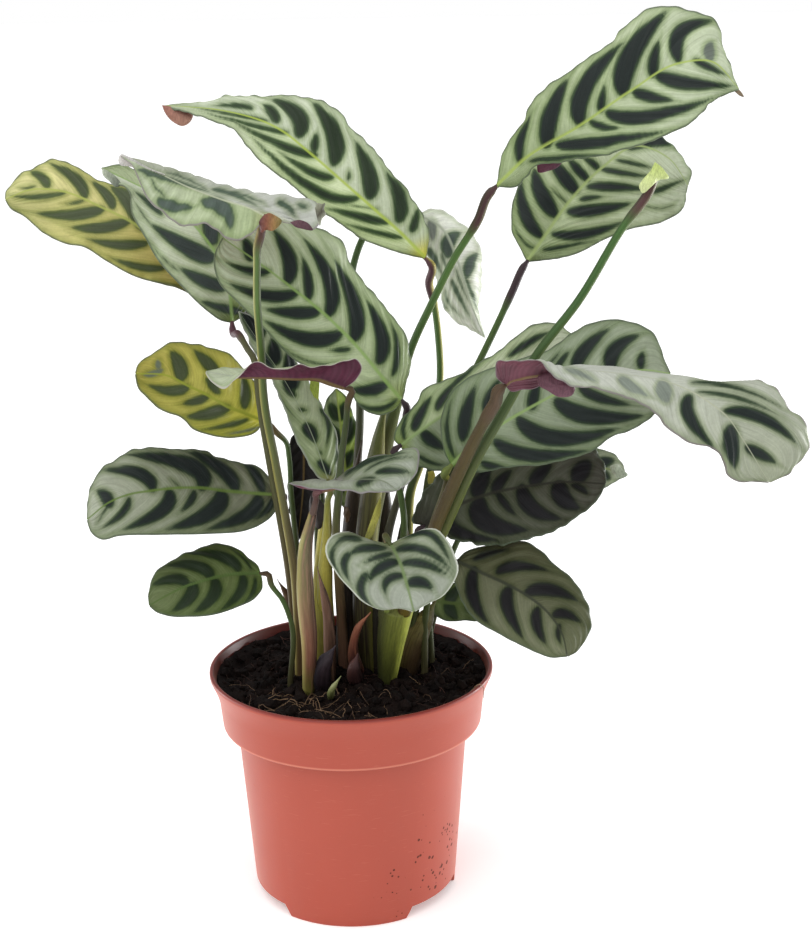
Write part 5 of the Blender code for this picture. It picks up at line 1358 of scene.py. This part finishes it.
def bladeFrame(leaf):
    # the blade's plain surface: rows from stalk to tip, columns from left margin over rib to right
    midrib = leaf["midrib"]
    length = lineLength(inSpace(smoothLine(midrib, np.linspace(0, 1, 200))))
    rows = int(np.clip(length / bladeMake["rowSpacing"], 40, 210))
    even = np.linspace(0, 1, rows)
    shares = 0.45 * even + 0.55 * (1 - np.cos(math.pi * even)) / 2
    shares = 0.5 / length + (1 - 0.8 / length) * shares
    middle = smoothLine(midrib, shares)
    base, tip = midrib[0][:2], midrib[-1][:2]
    margins = []
    for side, depths in zip(("left", "right"), leaf["sides"]):
        flat = smoothLine([base] + leaf[side] + [tip], shares)
        depth = middle[:, 2] + sideDepth(depths, shares) * frontView["sideSpread"] / frontView["depthSpread"]
        margins.append(inSpace(np.column_stack([flat, depth])))
    rib = inSpace(middle)
    rise = np.cross(margins[1] - margins[0], np.gradient(rib, axis=0))
    rise /= np.linalg.norm(rise, axis=1)[:, None] + 1e-9
    widest = max(np.linalg.norm(margin - rib, axis=1).max() for margin in margins)
    half = int(np.clip(widest / bladeMake["columnSpacing"], 10, 40))
    across = (np.arange(half + 1) / half) ** 1.08
    halves = []
    for margin in margins:
        width = np.linalg.norm(margin - rib, axis=1)
        t = across[None, :, None]
        arch = (4 * t * (1 - t)) * bladeMake["bulge"] * width[:, None, None] * rise[:, None, :]
        halves.append(rib[:, None, :] * (1 - t) + margin[:, None, :] * t + arch)
    grid = np.concatenate([halves[0][:, :0:-1], halves[1]], axis=1)
    reach = np.concatenate([across[:0:-1], across])
    return grid, shares, reach, half, length


def surfaceNormals(grid):
    normals = np.cross(np.gradient(grid, axis=1), np.gradient(grid, axis=0))
    return normals / (np.linalg.norm(normals, axis=2)[:, :, None] + 1e-9)


def veinBend(reach):
    return 0.55 * reach + 0.45 * reach ** 2


def markShape(t):
    # half width along a mark, from its blunt end by the rib to its drawn out end
    return t ** 0.45 * (1 - t) ** 0.75 / 0.4445


def markField(sheet, marks):
    # signed distance in mm from each point of the sheet to the nearest mark, below zero inside it
    points = sheet.reshape(-1, 2)
    nearest = np.full(len(points), 40.0)
    faint = np.zeros(len(points))
    t = np.linspace(0, 1 + bladeMake["tail"], 72)
    narrowing = np.clip(t - 1, 0, None) / bladeMake["tail"]
    for mark in marks:
        x0, y0, xm, ym, x1, y1, width = mark[:7]
        start, middle, end = np.array([x0, y0]), np.array([xm, ym]), np.array([x1, y1])
        bend = 2 * middle - (start + end) / 2
        line = ((1 - t) ** 2)[:, None] * start + (2 * t * (1 - t))[:, None] * bend + (t ** 2)[:, None] * end
        halfWidth = markShape(np.clip(t, 0, 1)) * width / 2 + 0.35 * np.clip(width / 8, 0, 1)
        halfWidth = halfWidth - 3.2 * narrowing
        away = np.sqrt(((points[:, None, :] - line[None]) ** 2).sum(axis=2)) - halfWidth
        away = away.min(axis=1)
        closer = away < nearest
        nearest[closer] = away[closer]
        faint[closer] = mark[7] if len(mark) > 7 else 0.0
    return (nearest * bladeMake["mmPerUnit"]).reshape(sheet.shape[:2]), faint.reshape(sheet.shape[:2])


def sheetAt(sheet, shares, signed, share, sideReach):
    # where a place on the blade lies on the sheet; sideReach is below zero on the left half
    row = float(np.interp(share, shares, np.arange(len(shares))))
    column = float(np.interp(sideReach, signed, np.arange(len(signed))))
    i, j = min(int(row), len(shares) - 2), min(int(column), len(signed) - 2)
    u, v = row - i, column - j
    return ((sheet[i, j] * (1 - v) + sheet[i, j + 1] * v) * (1 - u)
            + (sheet[i + 1, j] * (1 - v) + sheet[i + 1, j + 1] * v) * u)


def spareMarks(leaf, sheet, shares, signed):
    # marks where the front view shows none of the blade, long and short by turns
    marks = []
    at = partial(sheetAt, sheet, shares, signed)
    sweep = bladeMake["sweep"]
    for side, first, last, count in leaf.get("spare", []):
        sign = -1 if side == "left" else 1
        gap = 0.5 * (last - first) / count
        for k in range(count):
            share = first + (last - first) * (k + 0.5) / count
            far, wide = (0.86, 0.62) if k % 2 == 0 else (0.62, 0.5)
            start = at(share, sign * 0.07)
            middle = at(min(share + sweep * veinBend(far / 2), 0.98), sign * far / 2)
            end = at(min(share + sweep * veinBend(far), 0.99), sign * far)
            pitch = at(min(share + gap, 0.99), sign * 0.3) - at(max(share - gap, 0.01), sign * 0.3)
            marks.append((*start, *middle, *end, np.linalg.norm(pitch) * wide))
    return marks


def fittedSweep(leaf, sheet, shares, signed):
    # how far the side veins run forward, from the long marks of each half
    sweeps = {-1: [], 1: []}
    for mark in leaf.get("marks", []):
        ends = []
        for place in (mark[0:2], mark[4:6]):
            gap = ((sheet - np.array(place)) ** 2).sum(axis=2)
            i, j = np.unravel_index(gap.argmin(), gap.shape)
            ends.append((shares[i], signed[j]))
        (s0, r0), (s1, r1) = ends
        if r0 * r1 >= 0 and abs(r1) > abs(r0) + 0.25:
            sweeps[1 if r1 > 0 else -1].append((s1 - s0) / (veinBend(abs(r1)) - veinBend(abs(r0))))
    return [float(np.clip(np.median(sweeps[side]), 0.05, 0.6)) if sweeps[side] else bladeMake["sweep"]
            for side in (-1, 1)]


def bladePiece(name, leaf, materials):
    look = {**bladeMake, **leaf}
    grid, shares, reach, half, length = bladeFrame(leaf)
    rows, columns = grid.shape[:2]
    sheet = onSheet(grid)
    onLeft = np.arange(columns) < half
    signed = np.where(onLeft, -reach, reach)
    sweep = np.where(onLeft, *fittedSweep(leaf, sheet, shares, signed))
    vein = (shares[:, None] - sweep[None, :] * veinBend(reach)[None, :]) * length
    left = np.linalg.norm(grid[:, 0] - grid[:, half], axis=1)
    right = np.linalg.norm(grid[:, -1] - grid[:, half], axis=1)
    width = np.where(onLeft[None, :], left[:, None], right[:, None])
    fromRib = reach[None, :] * width
    fromEdge = (1 - reach[None, :]) * width
    fromEnd = np.minimum(shares, 1 - shares)[:, None] * length
    settle = ease(fromEnd, 0.0, 7.0)

    marks = leaf.get("marks", []) + spareMarks(leaf, sheet, shares, signed)
    distance, faint = markField(sheet, marks)

    # fine relief: ripples between the side veins, waves and crinkles to the margin, a groove and ridge
    # over the rib, and a keel below it
    seed = float(sum(map(ord, name)) % 97)
    relief = look["ripple"] * np.sin(2 * math.pi * vein / look["ripplePitch"])
    relief = relief * ease(reach, 0.08, 0.4)[None, :] * (1 - 0.5 * ease(reach, 0.8, 1.0))[None, :] * settle
    tall, long = look["wave"]
    along = shares[:, None] * length
    sideSign = np.where(onLeft, -1.0, 1.0)[None, :]
    ripples = (np.sin(2 * math.pi * along / long + seed + 1.7 * sideSign)
               + 0.6 * np.sin(2 * math.pi * along / (long * 0.57) + 2.1 * seed + 0.9 * sideSign))
    relief = relief + tall * 0.6 * ripples * (reach ** 3)[None, :] * settle
    crinkle = np.sin(2 * math.pi * along / 6.3 + 3 * seed)
    crinkle = crinkle * np.sin(2 * math.pi * along / 23.0 + seed + sideSign)
    relief = relief + look["crinkle"] * crinkle * (reach ** 6)[None, :] * settle
    taper = (1 - 0.75 * shares)[:, None]
    relief = relief - 0.35 * taper * np.exp(-(fromRib / 1.5) ** 2) * settle
    ridge = 0.22 * taper * np.exp(-(fromRib / 0.5) ** 2)
    normals = surfaceNormals(grid)
    thick = look["thickness"] * (1 - 0.45 * ease(reach, 0.9, 1.0))[None, :]
    keel = look["ribHeight"] * (1 - 0.8 * shares)[:, None] * np.exp(-(fromRib / (0.95 * taper)) ** 2)
    top = grid + normals * (relief + ridge + thick / 2)[:, :, None]
    below = grid + normals * (relief - keel - thick / 2)[:, :, None]

    index = np.arange(rows * columns).reshape(rows, columns)
    quads = np.stack([index[:-1, :-1], index[:-1, 1:], index[1:, 1:], index[1:, :-1]], axis=2).reshape(-1, 4)
    under = quads[:, ::-1] + rows * columns
    loop = np.concatenate([index[:, 0], index[-1, 1:], index[-2::-1, -1], index[0, -2:0:-1]])
    after = np.roll(loop, -1)
    rim = np.stack([loop, after, after + rows * columns, loop + rows * columns], axis=1)
    faces = np.concatenate([quads, under, rim])
    picks = np.repeat([0, 1, 0], [len(quads), len(under), len(rim)])
    flat = np.repeat([False, False, True], [len(quads), len(under), len(rim)])

    # each half has its own row; on a few blades one half's row holds painted shade, and on others painted
    # light
    tints, tintsRight = (mixedColours(leafTints[key], shares)[:, None, :]
                         for key in (look["tint"], look.get("tintRight", look["tint"])))
    blend = np.where(onLeft, 0.0, 1.0)[None, :, None]
    blend[:, half] = 0.5                 # half and half on the rib
    ground = tints * (1 - blend) + tintsRight * blend
    # some blades are yellow or brown for a few mm at the stalk; on the top left blade this is a painted
    # backlight glow, and the very dark ones are painted shade
    baseTint, baseLength = look["base"]
    ground = laidOver(ground, baseTint, ease(shares * length, baseLength, 0.0)[:, None, None])
    underTint = np.tile(linearColour(look["under"]), (rows * columns, 1))
    values = {"ground": np.concatenate([ground.reshape(-1, 3), underTint])}
    for key, hexText in (("markTint", markTints[look["mark"]]), ("ribTint", look["rib"]),
                         ("marginLineAndHighlightTint", look["seam"])):
        values[key] = np.tile(linearColour(hexText), (2 * rows * columns, 1))
    ribWidth = 0.72 * (1 - 0.62 * shares)[:, None] * look["ribWidth"]
    fields = {"mark": distance, "faint": faint, "vein": vein, "out": fromRib, "rib": fromRib / ribWidth,
              "edge": np.minimum(fromEdge, fromEnd * 1.5)}
    for key, field in fields.items():
        values[key] = np.tile(field.reshape(-1), 2)
    newPiece("blade_" + name, np.concatenate([top.reshape(-1, 3), below.reshape(-1, 3)]), faces,
             materials, ["leaf_" + name], picks, flat, values)


def bladeUpper():
    # a living blade under a thin wax cuticle: satin, silver green, the marks are darker tissue
    material, add = newMaterial("leafBladeUnderThinWax")
    ground, markTint, ribTint, marginLineAndHighlightTint = (
        add("Attribute", attribute_name=key) for key in ("ground", "markTint", "ribTint", "marginLineAndHighlightTint"))
    mark, faint, vein, out, rib, edge = (
        add("Attribute", attribute_name=key, out="Fac")
        for key in ("mark", "faint", "vein", "out", "rib", "edge"))
    place = add("TexCoord", out="Object")
    fine = add("TexNoise", (place, 900.0, 4.0, 0.6))  # cells are finer; 1.1 mm shows
    middling = add("TexNoise", (place, 300.0, 2.0))  # 3 mm, ragged outlines
    broad = add("TexNoise", (place, 90.0, 3.0))  # 11 mm, uneven growth
    # side veins, bent a little by the noise
    bent = add("Math", (broad, 3.0, vein), operation="MULTIPLY_ADD")
    wave = add("Math", (bent, 2 * math.pi / bladeMake["veinPitch"]), operation="MULTIPLY")
    wave = add("Math", (wave,), operation="SINE")
    shade = add("Math", (wave, 0.016, 1.0), operation="MULTIPLY_ADD")
    # painted sheen: lighter and darker silky streaks that follow the side veins; the same streaks also shape
    # the bump and the marks' outline
    bentLay = add("Math", (bent, 0.75), operation="MULTIPLY")
    outLay = add("Math", (out, 0.06), operation="MULTIPLY")
    drawn = add("CombineXYZ", (bentLay, outLay))
    streakSheen = add("TexNoise", (drawn, 1.0, 4.0, 0.62))  # 1.3 mm wide, 17 mm long
    for source, least, most in ((broad, 0.93, 1.07), (fine, 0.94, 1.06), (streakSheen, 0.86, 1.14)):
        part = add("MapRange", (source, 0.3, 0.7, least, most))
        shade = add("Math", (shade, part), operation="MULTIPLY")
    # the marks' outline: ragged along the side veins
    shifted = add("Math", (mark, 0.3), operation="SUBTRACT")
    for source, much in ((middling, 0.5), (wave, 0.05), (streakSheen, 0.5)):
        shifted = add("Math", (source, much, shifted), operation="MULTIPLY_ADD")
    # a green veil round the marks and along the margin
    leafGreen = add("Mix", (1.0, ground, rgba(bladeMake["veil"])), blend_type="MULTIPLY")
    tint = ground
    for source, far, close, much in ((shifted, 2.4, 0.4, 0.65), (edge, 3.6, 0.4, 0.6)):
        veil = add("MapRange", (source, far, close, 0.0, much), interpolation_type="SMOOTHSTEP")
        tint = add("Mix", (veil, tint, leafGreen))
    # inside a mark: a dark green rim, slate in the middle, and faded marks grey
    rim = add("Mix", (1.0, ground, rgba(bladeMake["markRim"])), blend_type="MULTIPLY")
    rim = add("Mix", (0.55, markTint, rim))
    inside = add("MapRange", (shifted, -0.1, -1.5), interpolation_type="SMOOTHSTEP")
    marked = add("Mix", (inside, rim, markTint))
    marked = add("Mix", (faint, marked, rgba(bladeMake["faintMark"])))
    onMark = add("MapRange", (shifted, 0.75, -0.55), interpolation_type="SMOOTHSTEP")
    tint = add("Mix", (onMark, tint, marked))
    tint = add("VectorMath", (tint, shade), operation="SCALE")
    # the seam along the margin, a dark line on most blades and a painted pale highlight on some, and the
    # lighter rib
    for source, far, close, much, over in ((edge, 1.0, 0.35, 0.75, marginLineAndHighlightTint), (rib, 2.1, 0.3, 0.85, ribTint)):
        line = add("MapRange", (source, far, close, 0.0, much), interpolation_type="SMOOTHSTEP")
        tint = add("Mix", (line, tint, over))
    height = add("Math", (wave, 0.3, fine), operation="MULTIPLY_ADD")
    height = add("Math", (streakSheen, 3.0, height), operation="MULTIPLY_ADD")
    bump = add("Bump", {"Height": height, "Distance": 0.0001, "Strength": 0.5})
    rough = add("MapRange", (fine, 0.0, 1.0, 0.34, 0.50))
    surface = add("BsdfPrincipled", {
        "Base Color": tint, "Normal": bump, "Roughness": rough, "IOR": 1.42, "Specular IOR Level": 0.18})
    add("OutputMaterial", (surface,))
    return material


def bladeUnder():
    # the underside: matt to satin wine red tissue, a raised olive rib and paler side veins
    material, add = newMaterial("leafUndersideWineRed")
    ground, marginLineAndHighlightTint = (add("Attribute", attribute_name=key) for key in ("ground", "marginLineAndHighlightTint"))
    mark, vein, rib, edge = (
        add("Attribute", attribute_name=key, out="Fac") for key in ("mark", "vein", "rib", "edge"))
    place = add("TexCoord", out="Object")
    broad = add("TexNoise", (place, 110.0, 4.0))  # 9 mm blotches
    fine = add("TexNoise", (place, 900.0, 3.0))  # 1.1 mm
    bent = add("Math", (broad, 2.5, vein), operation="MULTIPLY_ADD")
    wave = add("Math", (bent, 2 * math.pi / bladeMake["underVeinPitch"]), operation="MULTIPLY")
    wave = add("Math", (wave,), operation="SINE")
    shade = add("Math", (wave, 0.10, 1.0), operation="MULTIPLY_ADD")
    mottle = add("MapRange", (broad, 0.3, 0.7, 0.72, 1.28))
    shade = add("Math", (shade, mottle), operation="MULTIPLY")
    dim = add("MapRange", (mark, 0.6, -0.6, 1.0, 0.72), interpolation_type="SMOOTHSTEP")
    shade = add("Math", (shade, dim), operation="MULTIPLY")
    tint = add("VectorMath", (ground, shade), operation="SCALE")
    ribTint = rgba(bladeMake["underRib"])
    for source, far, close, much, over in ((edge, 0.55, 0.2, 0.6, marginLineAndHighlightTint), (rib, 1.6, 0.8, 0.75, ribTint)):
        line = add("MapRange", (source, far, close, 0.0, much))
        tint = add("Mix", (line, tint, over))
    height = add("Math", (wave, 0.6, fine), operation="MULTIPLY_ADD")
    bump = add("Bump", {"Height": height, "Distance": 0.00009, "Strength": 0.7})
    rough = add("MapRange", (fine, 0.0, 1.0, 0.42, 0.6))
    surface = add("BsdfPrincipled", {
        "Base Color": tint, "Normal": bump, "Roughness": rough, "IOR": 1.42, "Specular IOR Level": 0.25})
    add("OutputMaterial", (surface,))
    return material


# a stalk is smooth waxy skin over stiff fibres: satin, faint lengthwise ribs
stalkSkin = fibrousSkin("waxyStalkSkin", (0.02, 1.6, 1.6), 0.5)


def stalkPiece(name, stalk, points, endTangent, node):
    look = {**stalkMake, **stalk}
    if "foot" in look:
        start = np.array([*look["foot"], soilSurface - rootDepth])
    else:
        sheath, right, back = look["seat"]
        seat, normal = sheathTops[sheath]
        across = unit(np.cross(np.array([0.0, 1.0, 0.0]), normal))
        start = seat + right * across + back * np.cross(normal, across) - 0.6 * normal
    path = inSpace(points)[::-1]
    if endTangent is not None:
        tip = path[-1]
        path = np.vstack([path[:-1], tip - endTangent * look["tipLength"], tip + endTangent * 0.8])
    path = np.vstack([start, path])
    length = lineLength(path)
    rings = int(np.clip(length / 1.5, 14, 150))
    shares = np.linspace(0, 1, rings)
    path = smoothLine(path, shares)
    radii = np.interp(shares, np.linspace(0, 1, len(look["radii"])), look["radii"])
    fromTip = (1 - shares) * length
    swollen, pulvinusColour = look["pulvinus"]
    radii = radii * (1 + 0.22 * ease(fromTip, swollen + 4, swollen - 2) * ease(fromTip, 0, 4))
    if endTangent is not None:
        radii = look["tipRadius"] + (radii - look["tipRadius"]) * ease(fromTip, 0.0, 3.5)
    sides = look["facets"]
    points = tubeRings(path, radii, sides)
    turn = np.arange(sides) / sides
    # a shallow channel runs down the upper side
    groove = 1 - 0.10 * np.exp(-((turn - 0.25) / 0.09) ** 2)
    points = path[:, None, :] + (points - path[:, None, :]) * groove[None, :, None]
    ground = mixedColours(look["skin"], shares)
    ground = laidOver(ground, pulvinusColour, ease(fromTip, swollen + 5, swollen - 5)[:, None])
    ground = paintSideLightShade(np.repeat(ground[:, None, :], sides, axis=1), points, path, look["lit"])
    streak = ground.reshape(-1, 3) * 1.35
    stemPiece("stem_" + name, path, radii, points, ground, streak, stalkSkin, [node])


def makeLeaves():
    materials = [bladeUpper(), bladeUnder()]
    for name, leaf in leaves.items():
        bladePiece(name, leaf, materials)
        ends = inSpace(leaf["midrib"][:2])
        points = [leaf["midrib"][0]] + leaf["stalk"]
        stalkPiece(name, leaf, points, unit(ends[1] - ends[0]), "stalk_" + name)
        print("leaf made:", name)
    stalkPiece("bare", bareStalk, bareStalk["points"], None, "stalk_bare")


makeLeaves()
print("leaves and stalks made")
